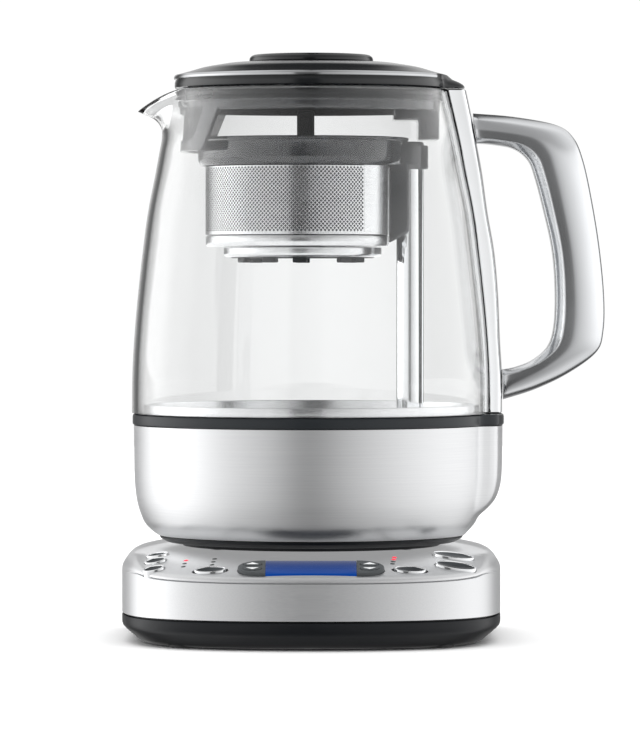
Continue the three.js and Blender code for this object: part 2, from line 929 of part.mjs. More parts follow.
// Black plate under the jug, with the socket that fits over the power hub
function addUnderside() {
  const low = jugFootZ();
  const high = low + underRingHeight;
  const plate = revolve([
    [socketRadius + seatGap, low],
    [underFootRadius, low],
    [underFootRadius, low + underFootHeight],
    [underRingRadius - underRingTaper, low + underFootHeight],
    [underRingRadius, high - underRingEdge],
    [underRingRadius, high],
    [socketRadius + seatGap, high],
    [socketRadius + seatGap, low],
  ]);
  addMesh(jugGroup, 'jug_underside', plate, blackPlastic());
  const inner = hubRadius + slideGap;
  const socket = revolve([
    [inner, low],
    [socketRadius, low],
    [socketRadius, high + seatGap],
    [socketRadius + socketWall, high + seatGap],
    [socketRadius + socketWall, high + socketWall],
    [socketRadius, high + socketWall],
    [socketRadius, socketTopZ],
    [0, socketTopZ],
    [0, socketTopZ - socketWall],
    [inner, socketTopZ - socketWall],
    [inner, low],
  ], hubSteps);
  addMesh(jugGroup, 'power_socket', socket, blackPlastic());
}

function addShell() {
  const low = shellBottomZ();
  const height = shellTopZ - low;
  const outer = shellProfileShares.map(([up, radius, reach]) => (
    lobeRing(shellRadius * radius, shellReach * reach, low + height * up)
  ));
  const inner = shellProfileShares.filter((_, k) => k % 2 === 0).map(([up, radius, reach]) => (
    lobeRing(shellRadius * radius - shellWall, shellReach * reach - shellWall, low + height * up)
  ));
  addMesh(jugGroup, 'jug_shell', loft([...outer, ...inner.reverse()], true), brushedSteel());
}

function addCollar() {
  const low = shellTopZ + seatGap;
  const outer = lobeRing(collarRadius, collarReach, 0);
  const collar = raised(outer, low, collarTopZ, [circle(collarInnerRadius, roundSteps)]);
  addMesh(jugGroup, 'collar_ring', collar, greyPlastic());
}

// Stainless floor of the vessel, with a turned-up rim inside the glass
function addFloor() {
  const radius = collarInnerRadius - seatGap;
  const dish = revolve([
    [0, floorZ],
    [radius, floorZ],
    [radius, collarTopZ + floorRim],
    [radius - floorThickness, collarTopZ + floorRim],
    [radius - floorThickness, floorZ + floorThickness],
    [0, floorZ + floorThickness],
  ]);
  const passage = moved(disc(postRadius + seatGap, floorZ - overrun, floorZ + overrun * 2), postX, 0);
  addMesh(jugGroup, 'vessel_floor', cut(dish, passage), brushedSteel());
}

// A sheathed heating ring on a spreader plate under the floor
function addHeater() {
  const open = THREE.MathUtils.degToRad(heaterOpenDegrees);
  const plateTop = floorZ - seatGap;
  const plateLow = plateTop - heaterPlateThickness;
  const centreZ = plateLow - seatGap - heaterTubeRadius;
  const points = [];
  const steps = hubSteps;
  for (let i = 0; i <= steps; i += 1) {
    const angle = mix(open / 2, 2 * Math.PI - open / 2, i / steps);
    points.push([Math.cos(angle), Math.sin(angle)]);
  }
  const ringPoints = points.map(([x, y]) => new THREE.Vector3(heaterRadius * x, heaterRadius * y, centreZ));
  const path = new THREE.CatmullRomCurve3(ringPoints);
  const tubeOutline = circle(heaterTubeRadius, heaterTubeSides);
  const section = new THREE.Shape(tubeOutline.map(([x, y]) => new THREE.Vector2(x, y)));
  const ring = new THREE.ExtrudeGeometry(section, { steps: steps, extrudePath: path });
  addMesh(jugGroup, 'heating_ring', closedSolid(ring), castMetal());
  const inner = heaterRadius - heaterPlateWidth / 2;
  const outer = heaterRadius + heaterPlateWidth / 2;
  const outline = [
    ...points.map(([x, y]) => [outer * x, outer * y]),
    ...points.map(([x, y]) => [inner * x, inner * y]).reverse(),
  ];
  addMesh(jugGroup, 'heat_spreader', raised(outline, plateLow, plateTop), castMetal());
  const sensor = disc(sensorRadius, floorZ - seatGap - sensorHeight, floorZ - seatGap);
  addMesh(jugGroup, 'heat_sensor', moved(sensor, -heaterRadius / 2, 0), brass());
}

// Shares of the glass height and radius, from the foot to the rim
const glassProfileShares = [
  [0, 1],
  [0.13, 0.997],
  [0.26, 0.983],
  [0.38, 0.963],
  [0.5, 0.939],
  [0.62, 0.91],
  [0.74, 0.868],
  [0.84, 0.834],
  [1, 0.769],
];
const neckShares = [0, 0.2, 0.4, 0.6, 0.8, 1];
const spoutReachShares = [0, 0, 0.12, 0.36, 0.72, 1];
const spoutHeightShares = [0, 0.33, 0.57, 0.76, 0.9, 1];
const spoutDropPower = 1.4;

function glassFootZ() {
  return collarTopZ + seatGap;
}

function glassProfile() {
  const height = glassRimZ - glassFootZ();
  const points = glassProfileShares.map(([up, out]) => new THREE.Vector2(up * height, out * glassRadius));
  return new THREE.SplineCurve(points);
}

// Outer radius of the glass at a height
function glassRadiusAt(z) {
  const curve = glassProfile();
  const height = z - glassFootZ();
  let [low, high] = [0, 1];
  for (let i = 0; i < roundSteps; i += 1) {
    const half = (low + high) / 2;
    if (curve.getPoint(half).x < height) {
      low = half;
    } else {
      high = half;
    }
  }
  return curve.getPoint(low).y;
}

function spoutShare(angle) {
  const half = THREE.MathUtils.degToRad(spoutHalfDegrees);
  const off = Math.abs(Math.PI - angle);
  return ease(1 - off / half);
}

// Angles with a closer step across the spout
function glassAngles() {
  const half = THREE.MathUtils.degToRad(spoutHalfDegrees);
  const across = spoutSteps;
  const rest = (roundSteps + spoutSteps) / 2;
  const angles = [];
  for (let i = 0; i < across; i += 1) {
    angles.push(mix(Math.PI - half, Math.PI + half, i / across));
  }
  for (let i = 0; i < rest; i += 1) {
    angles.push(mix(Math.PI + half, 3 * Math.PI - half, i / rest) % (2 * Math.PI));
  }
  return angles;
}

function neckRing(k, inset) {
  const plainZ = mix(spoutRootZ, glassRimZ, neckShares[k]);
  const plainR = glassRadiusAt(plainZ);
  const rootR = glassRadiusAt(spoutRootZ);
  const spoutR = mix(rootR, spoutReach, spoutReachShares[k]);
  const spoutZ = mix(spoutRootZ, spoutTipZ, spoutHeightShares[k]);
  return glassAngles().map((angle) => {
    const share = spoutShare(angle);
    const r = mix(plainR, spoutR, share) - inset;
    return [r * Math.cos(angle), r * Math.sin(angle), mix(plainZ, spoutZ, share ** spoutDropPower)];
  });
}

function glassRing(z, inset) {
  const r = glassRadiusAt(z) - inset;
  return glassAngles().map((angle) => [r * Math.cos(angle), r * Math.sin(angle), z]);
}

const glassLevelShares = [0, 0.18, 0.36, 0.52, 0.66, 0.77];

function addGlass() {
  const height = glassRimZ - glassFootZ();
  const levels = glassLevelShares.map((share) => glassFootZ() + share * height);
  const outer = [
    ...levels.map((z) => glassRing(z, 0)),
    ...neckShares.map((_, k) => neckRing(k, 0)),
  ];
  const inner = [
    ...levels.filter((_, k) => k % 2 === 0).map((z) => glassRing(z, glassWall)),
    ...neckShares.map((_, k) => k).filter((k) => k % 2 === 1).map((k) => neckRing(k, glassWall)),
  ];
  const rim = neckRing(neckShares.length - 1, glassWall / 2).map(([x, y, z]) => [x, y, z + rimRound]);
  addMesh(jugGroup, 'glass_jug', loft([...outer, rim, ...inner.reverse()], true), glass());
}

// Outer edge of the spine as shares of its height and of its foot's reach
const spineProfileShares = [
  [0, 1],
  [0.12, 1],
  [0.22, 0.99],
  [0.37, 0.979],
  [0.5, 0.959],
  [0.62, 0.924],
  [0.75, 0.893],
  [0.86, 0.858],
  [0.94, 0.832],
  [1, 0.81],
];

function spineCurve() {
  const low = glassFootZ();
  const height = spineTopZ - low;
  return spineProfileShares.map(([up, out]) => [low + up * height, out * spineFootReach]);
}

// Bright metal strip that follows the glass and carries the handle
function addSpine() {
  const acrossShares = [-1, -0.6, -0.2, 0.2, 0.6, 1];
  const rings = spineCurve().map(([z, reach]) => {
    const hug = glassRadiusAt(z) + seatGap;
    const inner = acrossShares.map((share) => {
      const y = share * spineHalfWidth;
      return [Math.sqrt(hug * hug - y * y), y, z];
    });
    const outer = acrossShares.map((share) => {
      const x = reach - spineCrown * share * share;
      return [x, share * spineHalfWidth, z];
    });
    return [...inner, ...outer.reverse()];
  });
  addMesh(jugGroup, 'handle_spine', loft(rings), polishedMetal());
}

// Handle edges as shares of its reach from the root and of its height
const handleOuterShares = [
  [0, 1],
  [0.31, 0.988],
  [0.63, 0.96],
  [0.765, 0.915],
  [0.84, 0.835],
  [0.905, 0.7],
  [0.965, 0.53],
  [1, 0.36],
  [0.995, 0.24],
  [0.94, 0.165],
  [0.72, 0.09],
  [0.47, 0.035],
  [0.23, 0],
];
const handleInnerShares = [
  [0.01, 0.895],
  [0.15, 0.89],
  [0.31, 0.875],
  [0.42, 0.835],
  [0.475, 0.77],
  [0.535, 0.665],
  [0.6, 0.53],
  [0.625, 0.4],
  [0.62, 0.27],
  [0.575, 0.19],
  [0.46, 0.14],
  [0.33, 0.115],
  [0.225, 0.105],
];
const handleStations = 22;
const handleSides = 12;
const handleSquareness = 2.7;

function handleEdge(shares) {
  const width = handleReach - handleRootX;
  const height = handleTopZ - handleBottomZ;
  const points = shares.map(([out, up]) => (
    new THREE.Vector3(handleRootX + out * width, 0, handleBottomZ + up * height)
  ));
  return new THREE.CatmullRomCurve3(points, false, 'centripetal');
}

// Cast handle: superellipse sections strung between its two edges
function handleForm() {
  const outer = handleEdge(handleOuterShares);
  const inner = handleEdge(handleInnerShares);
  const rings = [];
  for (let i = 0; i <= handleStations; i += 1) {
    const share = i / handleStations;
    const far = outer.getPoint(share);
    const near = inner.getPoint(share);
    const centre = far.clone().add(near).multiplyScalar(1 / 2);
    const half = far.clone().sub(near).multiplyScalar(1 / 2);
    const swell = Math.sin(Math.PI * share);
    const depth = mix(handleRootHalfDepth, handleHalfDepth, Math.sqrt(Math.max(swell, 0)));
    rings.push(turns(handleSides).map((angle) => {
      const c = Math.cos(angle);
      const s = Math.sin(angle);
      const out = Math.sign(c) * Math.abs(c) ** (2 / handleSquareness);
      const side = Math.sign(s) * Math.abs(s) ** (2 / handleSquareness);
      return [centre.x + half.x * out, depth * side, centre.z + half.z * out];
    }));
  }
  return loft(rings);
}

// Solid in front of the spine's outer face, used to trim the handle's ends
function spineShadow() {
  const rings = spineCurve().map(([z, reach]) => [
    [0, -2 * spineHalfWidth, z],
    [reach + seatGap, -2 * spineHalfWidth, z],
    [reach + seatGap, 2 * spineHalfWidth, z],
    [0, 2 * spineHalfWidth, z],
  ]);
  return loft(rings);
}

function addHandle() {
  addMesh(jugGroup, 'handle', cut(handleForm(), spineShadow()), castMetal());
}

// Guide post of the lift: a sealed tube with a cap
function addPost() {
  const low = floorZ - postFootDepth;
  const capZ = postTopZ - postCapHeight;
  const pipe = tube(postRadius, postRadius - postWall, low, capZ - seatGap);
  addMesh(jugGroup, 'lift_post', moved(pipe, postX, 0), polishedMetal());
  const cap = revolve([
    [0, capZ],
    [postRadius, capZ],
    [postRadius, postTopZ - rimRound],
    [postRadius - rimRound, postTopZ],
    [0, postTopZ],
  ], smallSteps);
  addMesh(jugGroup, 'post_cap', moved(cap, postX, 0), greyPlastic());
}

// Involute gear outline with thinned teeth
function gearOutline(teeth, phase) {
  const pitch = (gearModule * teeth) / 2;
  const tip = pitch + gearModule * gearAddendumShare;
  const root = pitch - gearModule * gearDedendumShare;
  const base = pitch * Math.cos(THREE.MathUtils.degToRad(gearPressureDegrees));
  const involute = (r) => {
    const roll = Math.sqrt(Math.max((r / base) ** 2 - 1, 0));
    return roll - Math.atan(roll);
  };
  const halfTooth = (Math.PI / (2 * teeth)) * (1 - gearSlackShare);
  const radii = [Math.max(base, root), tip];
  const outline = [];
  for (let tooth = 0; tooth < teeth; tooth += 1) {
    const centre = phase + (2 * Math.PI * tooth) / teeth;
    const flank = radii.map((r) => [r, halfTooth + involute(pitch) - involute(r)]);
    const low = flank.map(([r, half]) => [r, centre - half]);
    const high = flank.map(([r, half]) => [r, centre + half]).reverse();
    const path = [[root, centre - flank[0][1]], ...low, ...high, [root, centre + flank[0][1]]];
    outline.push(...path.map(([r, angle]) => [r * Math.cos(angle), r * Math.sin(angle)]));
  }
  return outline;
}

function pinionX() {
  return postX - (gearModule * (wheelTeeth + pinionTeeth)) / 2;
}

function addDrive() {
  const screwTop = postTopZ - postCapHeight - seatGap;
  const screw = disc(screwCoreRadius, liftScrewFootZ, screwTop);
  addMesh(jugGroup, 'lift_screw', moved(screw, postX, 0), polishedMetal());
  const bore = [circle(screwCoreRadius + seatGap)];
  const teeth = raised(gearOutline(wheelTeeth, Math.PI), gearZ, gearZ + gearHeight, bore);
  addMesh(jugGroup, 'screw_gear', moved(teeth, postX, 0), nylon());
  const shuttleBore = screwCoreRadius + slideGap;
  const shuttleRadius = postRadius - postWall - slideGap;
  const shuttle = tube(shuttleRadius, shuttleBore, shuttleTopZ - shuttleHeight, shuttleTopZ);
  addMesh(jugGroup, 'lift_shuttle', moved(shuttle, postX, 0), castMetal());
  const shaftBore = [circle(motorShaftRadius + seatGap)];
  const pinionOutline = gearOutline(pinionTeeth, Math.PI / pinionTeeth);
  const pinion = raised(pinionOutline, gearZ, gearZ + gearHeight, shaftBore);
  addMesh(jugGroup, 'motor_pinion', moved(pinion, pinionX(), 0), brass());
  const motorTop = gearZ - motorLift;
  const motor = join(
    disc(motorRadius, motorTop - motorHeight, motorTop),
    disc(motorShaftRadius, motorTop - overrun, gearZ + gearHeight),
  );
  addMesh(jugGroup, 'lift_motor', moved(motor, pinionX(), 0), castMetal());
  const bracketTop = motorTop - motorHeight - seatGap;
  const bracketLow = jugFootZ() + underRingHeight + seatGap;
  const bracket = join(
    block(
      pinionX() - motorRadius,
      postX + bearingRadius,
      -bracketHalfWidth,
      bracketHalfWidth,
      bracketTop - bracketThickness,
      bracketTop,
    ),
    block(
      postX - bearingRadius,
      postX + bearingRadius,
      -bracketHalfWidth,
      bracketHalfWidth,
      bracketLow,
      bracketTop - bracketThickness / 2,
    ),
    moved(disc(bearingRadius, bracketTop - bracketThickness / 2, liftScrewFootZ - seatGap), postX, 0),
  );
  addMesh(jugGroup, 'drive_bracket', bracket, blackPlastic());
}

// Plan outline of the drum: a circle cut flat on the post's side
function drumOutline(inset) {
  const radius = drumRadius - inset;
  const flat = drumFlat - inset;
  const half = Math.acos(flat / radius);
  const arc = [];
  for (let i = 0; i <= drumSteps; i += 1) {
    const angle = mix(half, 2 * Math.PI - half, i / drumSteps);
    arc.push([basketX + radius * Math.cos(angle), radius * Math.sin(angle)]);
  }
  return arc;
}

function addBasket() {
  addCarriage();
  addDrum();
  addBasketFloor();
  addMagnets();
  addTeaLid();
}

// Grey rim of the basket with the collar and channel that ride on the post
function addCarriage() {
  const ring = moved(revolve([
    [0, rimBottomZ],
    [rimRadius - rimTaper, rimBottomZ],
    [rimRadius, rimBottomZ + rimTaper],
    [rimRadius, rimTopZ],
    [0, rimTopZ],
  ]), basketX, 0);
  const tab = moved(disc(collarTabRadius, collarTabBottomZ, collarTabTopZ), postX, 0);
  const front = basketX + drumFlat + seatGap;
  const sideView = [
    [front, rimBottomZ + rimTaper],
    [front, carriageBottomZ - carriageSlope],
    [carriageTailX, carriageBottomZ - carriageSlope / 2],
    [carriageBackX, carriageBottomZ],
    [carriageBackX, rimBottomZ + rimTaper],
  ];
  const channel = standing(sideView, carriageHalfWidth);
  const tail = standing([
    [carriageTailX, carriageBottomZ],
    [carriageTailX, carriageTailBottomZ],
    [carriageTailX + carriageTailDepth / 2, carriageTailBottomZ],
    [carriageTailX + carriageTailDepth, carriageBottomZ],
  ], carriageHalfWidth);
  const bore = moved(
    disc(postRadius + slideGap, carriageTailBottomZ - overrun, rimTopZ + overrun),
    postX,
    0,
  );
  const mouth = raised(drumOutline(drumWall), rimBottomZ - overrun, rimTopZ + overrun);
  const sides = magnetPlaces().map((side) => magnetBlock(side, seatGap, rimTopZ + overrun));
  const carriage = cut(join(ring, tab, channel, tail), bore, mouth, ...sides);
  addMesh(jugGroup, 'basket_carriage', carriage, greyPlastic());
}

// An outline in XZ widened to both sides of the middle plane
function standing(outline, halfWidth) {
  const shape = new THREE.Shape(outline.map(([x, z]) => new THREE.Vector2(x, z)));
  const geometry = new THREE.ExtrudeGeometry(shape, { depth: 2 * halfWidth, bevelEnabled: false });
  return closedSolid(geometry.rotateX(Math.PI / 2).translate(0, halfWidth, 0));
}

function addDrum() {
  const wall = raised(drumOutline(0), drumBottomZ, rimBottomZ - seatGap, [drumOutline(drumWall)]);
  addMesh(jugGroup, 'basket_drum', wall, brushedSteel());
}

function addBasketFloor() {
  const top = drumBottomZ - seatGap;
  const band = raised(drumOutline(bandInset), bandBottomZ, top, [drumOutline(bandInset + drumWall * 2)]);
  const plate = raised(drumOutline(bandInset), bandBottomZ, bandBottomZ + drumWall);
  addMesh(jugGroup, 'basket_band', join(band, plate), brushedSteel());
  const cupTop = bandBottomZ - seatGap;
  const cup = moved(revolve([
    [floorCupRadius - drumWall * 2, floorCupBottomZ],
    [floorCupRadius, floorCupBottomZ + drumWall],
    [floorCupRadius, cupTop],
    [floorCupRadius - drumWall * 2, cupTop],
    [floorCupRadius - drumWall * 2, floorCupBottomZ],
  ]), basketX, 0);
  addMesh(jugGroup, 'basket_cup', cup, brushedSteel());
  const ringTop = floorCupBottomZ + clipRingHeight;
  const ring = tube(
    clipRingRadius,
    clipRingRadius - clipRingWidth,
    floorCupBottomZ,
    bandBottomZ - seatGap,
    roundSteps,
  );
  const clips = turns(clipCount).map((angle) => (
    block(
      clipRingRadius - clipRingWidth,
      clipRingRadius,
      -clipWidth / 2,
      clipWidth / 2,
      floorCupBottomZ - clipHeight,
      ringTop,
    ).rotateZ(angle + Math.PI / clipCount)
  ));
  const round = disc(clipRingRadius, floorCupBottomZ - clipHeight, bandBottomZ, roundSteps);
  const rounded = common(join(ring, ...clips), round);
  addMesh(jugGroup, 'basket_clip_ring', moved(rounded, basketX, 0), greyPlastic());
}

function magnetPlaces() {
  return [-1, 1];
}

function magnetBlock(side, grow, topZ) {
  const y = side * (postRadius + slideGap + seatGap + magnetWidth / 2);
  const x = mix(basketX + drumFlat + seatGap, carriageBackX, 1 / 2);
  return block(
    x - magnetLength / 2 - grow,
    x + magnetLength / 2 + grow,
    y - magnetWidth / 2 - grow,
    y + magnetWidth / 2 + grow,
    rimTopZ - seatGap - magnetHeight - grow,
    topZ,
  );
}

// The magnets that the shuttle inside the post pulls along
function addMagnets() {
  const names = ['basket_magnet_front', 'basket_magnet_back'];
  magnetPlaces().forEach((side, i) => {
    addMesh(jugGroup, names[i], magnetBlock(side, 0, rimTopZ - seatGap), castMetal());
  });
}

// Lid of the tea basket: a shallow dish with an upright stem
function addTeaLid() {
  const dishTop = rimTopZ - teaLidSink;
  const dishLow = dishTop - teaLidThickness;
  const gap = drumWall + slideGap;
  const plate = raised(drumOutline(gap), dishLow, dishTop);
  const lip = raised(
    drumOutline(gap),
    dishTop - teaLidThickness / 2,
    dishTop + teaLidRimHeight,
    [drumOutline(gap + teaLidThickness)],
  );
  addMesh(jugGroup, 'tea_lid', join(plate, lip), greyPlastic());
  const stem = block(
    basketX + teaStemOffset - teaStemWidth / 2,
    basketX + teaStemOffset + teaStemWidth / 2,
    -teaStemDepth / 2,
    teaStemDepth / 2,
    dishTop + seatGap,
    dishTop + teaStemHeight,
  );
  addMesh(jugGroup, 'tea_lid_stem', stem, blackPlastic());
}

// Plan ring of the lid, a circle with a tail over the spine
function lidRing(radius, reach, z) {
  const half = Math.asin(lidTailHalfWidth / lidRadius);
  const blend = half / 2;
  return lobeAngles().map((angle) => {
    const off = Math.abs(Math.atan2(Math.sin(angle), Math.cos(angle)));
    const r = mix(radius, reach, ease((half + blend / 2 - off) / blend));
    return [r * Math.cos(angle), r * Math.sin(angle), z];
  });
}

// Dome of the lid as shares of the way in to its crown and up to its top
const domeShares = [[0, 0], [0.25, 0.3], [0.52, 0.64], [1, 1]];
const tailShares = [1, 0.85, 0.35];

function addLid() {
  addLidCap();
  addLidSkirt();
  addSpoutFilter();
}

function lidForm() {
  const groove = lidRadius - lidBandThickness / 2;
  const bandTop = lidBandZ + lidBandHeight;
  const tail = (share) => lidRadius + (lidTailReach - lidRadius) * share;
  const rings = [
    lidRing(lidRadius, tail(tailShares[0]), lidBottomZ),
    lidRing(lidRadius, tail(tailShares[1]), mix(lidBottomZ, lidBandZ, 1 / 2)),
    lidRing(lidRadius, tail(tailShares[2]), lidBandZ),
    lidRing(groove, groove, lidBandZ),
    lidRing(groove, groove, bandTop),
  ];
  for (const [inwards, up] of domeShares) {
    const radius = mix(groove, lidCrownRadius, inwards);
    rings.push(lidRing(radius, radius, mix(bandTop, lidCrownZ, up)));
  }
  return loft(rings);
}

function addLidCap() {
  const shelf = disc(skirtRadius + seatGap, lidBottomZ - overrun, lidBandZ, roundSteps);
  const roof = lidBandZ + lidBandHeight - lidWall;
  const inside = skirtRadius - skirtWall;
  const hollow = revolve([
    [0, lidBottomZ - overrun],
    [inside, lidBottomZ - overrun],
    [inside, roof],
    [lidCrownRadius, lidCrownZ - lidWall],
    [0, lidCrownZ - lidWall],
  ], smallSteps * 2);
  addMesh(jugGroup, 'lid_cap', cut(lidForm(), shelf, hollow), blackPlastic());
  const inner = lidRadius - lidBandThickness / 2 + seatGap;
  const bandTop = lidBandZ + lidBandHeight;
  const band = tube(inner + lidBandThickness, inner, lidBandZ + seatGap, bandTop, roundSteps);
  addMesh(jugGroup, 'lid_band', band, polishedMetal());
  const neckLow = lidCrownZ + seatGap;
  const discLow = neckLow + lidKnobNeckHeight;
  const knobTop = discLow + lidKnobThickness - lidKnobNeckHeight;
  const knob = revolve([
    [0, neckLow],
    [lidKnobNeckRadius, neckLow],
    [lidKnobNeckRadius, discLow],
    [lidKnobRadius, discLow],
    [lidKnobRadius, knobTop - lidKnobRound],
    [lidKnobRadius - lidKnobRound, knobTop],
    [0, knobTop],
  ]);
  addMesh(jugGroup, 'lid_knob', knob, blackPlastic());
}

// Outer radius of the guard, which flares towards its foot
function guardRadiusAt(z) {
  const top = skirtBottomZ + guardOverlap;
  return skirtRadius + guardFlare * Math.max((top - z) / (top - guardBottomZ), 0);
}

// Wall piece of the guard with slanted ends, moved out or in by an offset
function guardWall(halfDegrees, lowZ, highZ, offset, wall) {
  const half = THREE.MathUtils.degToRad(halfDegrees);
  const slant = THREE.MathUtils.degToRad(guardSlantDegrees);
  const low = guardRadiusAt(lowZ) + offset;
  const high = guardRadiusAt(highZ) + offset;
  const rings = [];
  for (let i = 0; i <= guardSteps; i += 1) {
    const share = i / guardSteps;
    const lowAngle = Math.PI + mix(-half, half, share);
    const highAngle = Math.PI + mix(-half - slant, half + slant, share);
    rings.push([
      [low * Math.cos(lowAngle), low * Math.sin(lowAngle), lowZ],
      [(low - wall) * Math.cos(lowAngle), (low - wall) * Math.sin(lowAngle), lowZ],
      [(high - wall) * Math.cos(highAngle), (high - wall) * Math.sin(highAngle), highZ],
      [high * Math.cos(highAngle), high * Math.sin(highAngle), highZ],
    ]);
  }
  return loft(rings);
}

function filterWindow(half, inset, offset, wall) {
  return guardWall(half, filterBottomZ + inset, filterTopZ - inset, offset, wall);
}

// Inner skirt of the lid: a ring, the guard at the spout and the post's guide
function addLidSkirt() {
  const top = lidBandZ - seatGap;
  const sealInner = skirtRadius + seatGap;
  const sealLow = lidBottomZ - sealHeight - overrun;
  const ring = tube(skirtRadius, skirtRadius - skirtWall, skirtBottomZ, top, roundSteps);
  const guard = guardWall(guardHalfDegrees, guardBottomZ, skirtBottomZ + guardOverlap, 0, skirtWall);
  const guide = standing([
    [guideNearX, lidBottomZ],
    [guideNearX, guideNearZ],
    [guideStepX, guideNearZ],
    [guideStepX, guideFarZ],
    [guideFarX, guideFarZ],
    [guideFarX, lidBottomZ],
  ], guideHalfWidth);
  const within = revolve([
    [0, guardBottomZ],
    [skirtRadius + guardFlare, guardBottomZ],
    [skirtRadius + guardFlare, skirtBottomZ],
    [skirtRadius, skirtBottomZ],
    [skirtRadius, top],
    [0, top],
  ]);
  const window = filterWindow(filterHalfDegrees, 0, overrun, skirtWall + 2 * overrun);
  const skirt = cut(join(ring, guard, common(guide, within)), window);
  addMesh(jugGroup, 'lid_skirt', skirt, greyPlastic());
  const seal = revolve([
    [sealInner, sealLow],
    [sealInner + sealFootWidth, sealLow],
    [sealInner + sealTopWidth, sealLow + sealHeight],
    [sealInner, sealLow + sealHeight],
    [sealInner, sealLow],
  ]);
  addMesh(jugGroup, 'lid_seal', seal, silicone());
}

// Perforated plate in the window of the spout guard
function addSpoutFilter() {
  const half = filterHalfDegrees - THREE.MathUtils.radToDeg(seatGap / skirtRadius);
  const offset = (filterThickness - skirtWall) / 2;
  const plate = filterWindow(half, seatGap, offset, filterThickness);
  const holes = [];
  for (let row = 0; row < filterRows; row += 1) {
    const up = (row + 1) / (filterRows + 1);
    const z = mix(filterBottomZ, filterTopZ, up);
    const reach = half + guardSlantDegrees * up;
    for (let column = 0; column < filterColumns; column += 1) {
      const across = (column + 1 + (row % 2) / 2) / (filterColumns + 3 / 2);
      const angle = Math.PI + THREE.MathUtils.degToRad(mix(-reach, reach, across));
      const radius = filterHole / 2;
      const drill = new THREE.CylinderGeometry(radius, radius, 2 * overrun, filterHoleSides);
      drill.rotateZ(Math.PI / 2).translate(guardRadiusAt(z) + offset, 0, z).rotateZ(angle);
      holes.push(drill);
    }
  }
  addMesh(jugGroup, 'spout_filter', cut(plate, ...holes), brushedSteel());
}

addPowerBase();
addJug();
addBasket();
addLid();

group.position.set((baseHalfWidth - handleReach) / 2, 0, 0);

export default group;
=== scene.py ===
# %% [markdown]
# # An automatic tea maker, dressed for its photograph
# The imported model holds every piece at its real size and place. This lesson puts a finish on each of
# them, and models anew the pieces whose curves the camera comes close to.

# %% Load the frame
import json
from math import asin, atan2, cos, pi, radians, sin, sqrt, tan

import bmesh
import bpy
from mathutils import Matrix, Vector


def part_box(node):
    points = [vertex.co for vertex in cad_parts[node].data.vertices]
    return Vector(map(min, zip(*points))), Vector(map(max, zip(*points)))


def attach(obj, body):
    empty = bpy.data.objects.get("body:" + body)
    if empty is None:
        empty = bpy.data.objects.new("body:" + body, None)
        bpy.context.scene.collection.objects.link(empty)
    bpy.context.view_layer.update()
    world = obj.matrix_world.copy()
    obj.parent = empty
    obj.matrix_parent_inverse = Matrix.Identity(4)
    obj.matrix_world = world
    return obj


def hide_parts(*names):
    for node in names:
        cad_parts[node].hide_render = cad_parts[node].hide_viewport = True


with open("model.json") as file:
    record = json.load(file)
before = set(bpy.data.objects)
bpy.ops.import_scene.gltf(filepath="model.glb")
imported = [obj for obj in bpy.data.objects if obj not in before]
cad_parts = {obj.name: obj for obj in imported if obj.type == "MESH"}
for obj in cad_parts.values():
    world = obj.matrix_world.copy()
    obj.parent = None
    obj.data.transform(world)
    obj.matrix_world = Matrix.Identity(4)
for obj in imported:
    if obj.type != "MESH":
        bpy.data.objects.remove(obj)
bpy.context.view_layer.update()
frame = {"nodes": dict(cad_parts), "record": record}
print("pieces in the frame:", len(frame["nodes"]))

# %% [markdown]
# ## Measures
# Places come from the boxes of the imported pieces, so nothing has to be fitted by eye. Everything is in
# metres, and lengths are written in millimetres times mm, because that is how such a product is drawn.

# %% Places in the frame
mm = 0.001


def low_corner(node):
    return Vector(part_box(node)[0])


def high_corner(node):
    return Vector(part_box(node)[1])


def middle(node):
    return (low_corner(node) + high_corner(node)) / 2


base_axis = middle("base_tray")
jug_axis = middle("jug_underside")
post_axis = middle("lift_post")
basket_axis = middle("basket_cup")
print("axis of the jug:", [round(value, 5) for value in jug_axis])

# %% [markdown]
# ## Camera
# The photograph was taken with a long lens from a little above the panel. A long lens keeps the rings of
# the jug almost flat, so the camera stands more than two metres away and looks down by one degree.

# %% The camera of the photograph
photo_height = 739
focal_pixels = 5000
camera_distance = 2242 * mm
camera_height = 162.8 * mm
camera_aside = 3.9 * mm
camera_pitch = 1.083


def add_camera():
    data = bpy.data.cameras.new("photo_camera")
    data.lens = focal_pixels * data.sensor_width / photo_height
    data.clip_end = 50
    camera = bpy.data.objects.new("photo_camera", data)
    camera.location = (jug_axis.x + camera_aside, jug_axis.y - camera_distance, camera_height)
    camera.rotation_euler = (radians(90 - camera_pitch), 0, 0)
    bpy.context.scene.collection.objects.link(camera)
    bpy.context.scene.camera = camera
    return camera


print("lens in mm:", round(add_camera().data.lens, 1))

# %% [markdown]
# ## Tools of the bench
# Round pieces are turned: a vertex is extruded along the profile and spun about its axis. Pieces that
# aren't round are drawn: a loop of edges is extruded, and each new loop is laid on its own outline.
# Operators act on all that is selected, so everything is deselected before each start.

# %% Starting and finishing a piece


def deselect():
    if bpy.context.mode != "OBJECT":
        bpy.ops.object.mode_set(mode="OBJECT")
    bpy.ops.object.select_all(action="DESELECT")


def take(obj):
    deselect()
    obj.select_set(True)
    bpy.context.view_layer.objects.active = obj


def start(name):
    obj = bpy.context.object
    obj.name = name
    obj.data.name = name
    bpy.ops.object.mode_set(mode="EDIT")
    return obj


def finished(obj, angle=32):
    bpy.ops.object.mode_set(mode="OBJECT")
    bpy.ops.object.transform_apply(location=True, rotation=True, scale=True)
    bpy.ops.object.shade_smooth_by_angle(angle=radians(angle))
    return obj


merge_distance = 0.002 * mm


def clean():
    bpy.ops.mesh.select_all(action="SELECT")
    bpy.ops.mesh.remove_doubles(threshold=merge_distance)
    bpy.ops.mesh.normals_make_consistent(inside=False)


# %% Profiles with rounded corners


